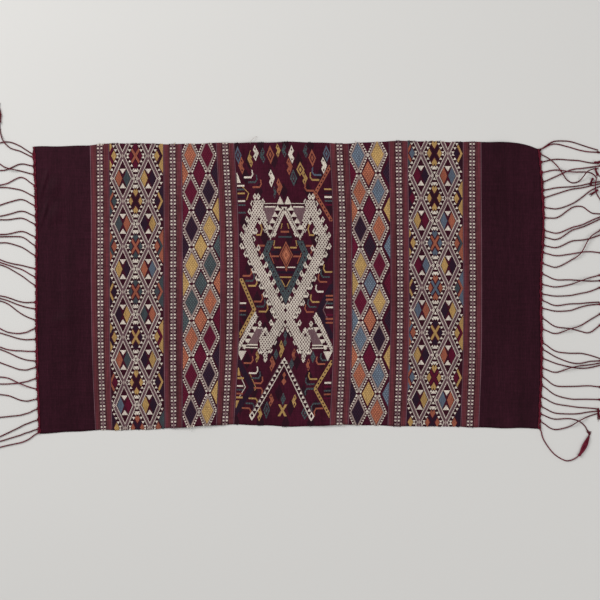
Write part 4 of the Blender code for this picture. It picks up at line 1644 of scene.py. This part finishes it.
def make_fringe(name, side, strands, wanderers, seed):
    chance = random.Random(seed)
    tubes = Tubes()
    rows = all_lines(strands, wanderers)
    for k, (line, level, tail) in enumerate(rows):
        others = [(other[0], other[1]) for n, other in enumerate(rows) if n != k]
        overs = places_over(line, level, others)
        raised = [raised_at(point, overs) for point in line]
        points = strand_points(side, line, raised)
        phase = chance.uniform(0, 6.28)
        plied(tubes, points, phase=phase, slot=1 if chance.random() < BRIGHT_STRANDS else 0)
        heading = flat_heading(points[-2], points[-1])
        if tail:
            knot(tubes, points[-1], heading, chance)
            tuft(tubes, beyond(points[-1], heading, 1.5), heading, tail, chance)
        root_x, root_y, _ = points[0]
        knot(tubes, (root_x + side * 1.2, root_y, 1.5), (0.0, 1.0), chance, size=2.5)
        wanderer = k - len(strands)
        if wanderer >= 0 and wanderers[wanderer].tuft_from < 1:
            bundle(tubes, points, round(WANDERER_STEPS * wanderers[wanderer].tuft_from), chance)
    edging(tubes, side, chance)
    if side > 0:
        loose_tufts(tubes, chance)
    yarns = [
        yarn_material(name + "_yarn", tone(*YARN_RED)),
        yarn_material(name + "_bright_yarn", tone(*BRIGHT_RED)),
    ]
    obj = place(name + "_yarns", tubes.mesh(name + "_yarns"), yarns)
    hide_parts(name)
    return obj


# Stage, lights and camera
VIEW_MIDDLE = (17.6, -20.8)  # millimetres from the middle of the cloth
VIEW_SIDE = 960.0
LENS = 85.0
SENSOR = 36.0
FLOOR = 30.0  # metres


def make_floor():
    mesh = bpy.data.meshes.new("floor")
    corners = [(-FLOOR, -FLOOR, 0), (FLOOR, -FLOOR, 0), (FLOOR, FLOOR, 0), (-FLOOR, FLOOR, 0)]
    mesh.from_pydata(corners, [], [(0, 1, 2, 3)])
    floor = bpy.data.objects.new("floor", mesh)
    nodes = Nodes("floor")
    nodes.shader.inputs["Base Color"].default_value = (0.62, 0.61, 0.59, 1.0)
    nodes.shader.inputs["Roughness"].default_value = 0.85
    mesh.materials.append(nodes.material)
    bpy.context.scene.collection.objects.link(floor)


def area_light(name, place_m, size, power):
    """A soft light that faces the middle of the cloth."""
    light = bpy.data.lights.new(name, "AREA")
    light.shape = "RECTANGLE"
    light.size, light.size_y = size
    light.energy = power
    obj = bpy.data.objects.new(name, light)
    obj.location = place_m
    x, y, z = place_m
    obj.rotation_euler = (math.atan2(math.hypot(x, y), z), 0.0, math.atan2(-y, -x) - math.pi / 2)
    bpy.context.scene.collection.objects.link(obj)


def make_light():
    world = bpy.data.worlds.new("studio")
    world.use_nodes = True
    background = world.node_tree.nodes["Background"]
    background.inputs["Color"].default_value = (1.0, 1.0, 1.0, 1.0)
    background.inputs["Strength"].default_value = 0.45
    bpy.context.scene.world = world
    area_light("key", (-1.7, 1.5, 1.9), (1.6, 1.6), 62.0)
    area_light("fill", (1.9, -0.9, 2.2), (2.0, 2.0), 26.0)
    bpy.context.scene.view_settings.view_transform = "Standard"


def make_camera():
    camera = bpy.data.cameras.new("camera")
    camera.lens = LENS
    camera.sensor_width = SENSOR
    obj = bpy.data.objects.new("camera", camera)
    distance = VIEW_SIDE * LENS / SENSOR
    obj.location = (VIEW_MIDDLE[0] * MM, VIEW_MIDDLE[1] * MM, distance * MM)
    bpy.context.scene.collection.objects.link(obj)
    bpy.context.scene.camera = obj


def main():
    make_camera()
    make_light()
    make_floor()
    draw_chart()
    threads = [thread_material(thread) for thread in THREADS]
    ground = make_ground()
    brocade = make_brocade(threads) + [make_weft_turns(threads), make_loose_ends(threads)]
    left = make_fringe("fringe_left", -1, LEFT_STRANDS, LEFT_WANDERERS, 5)
    right = make_fringe("fringe_right", 1, RIGHT_STRANDS, RIGHT_WANDERERS, 6)


main()
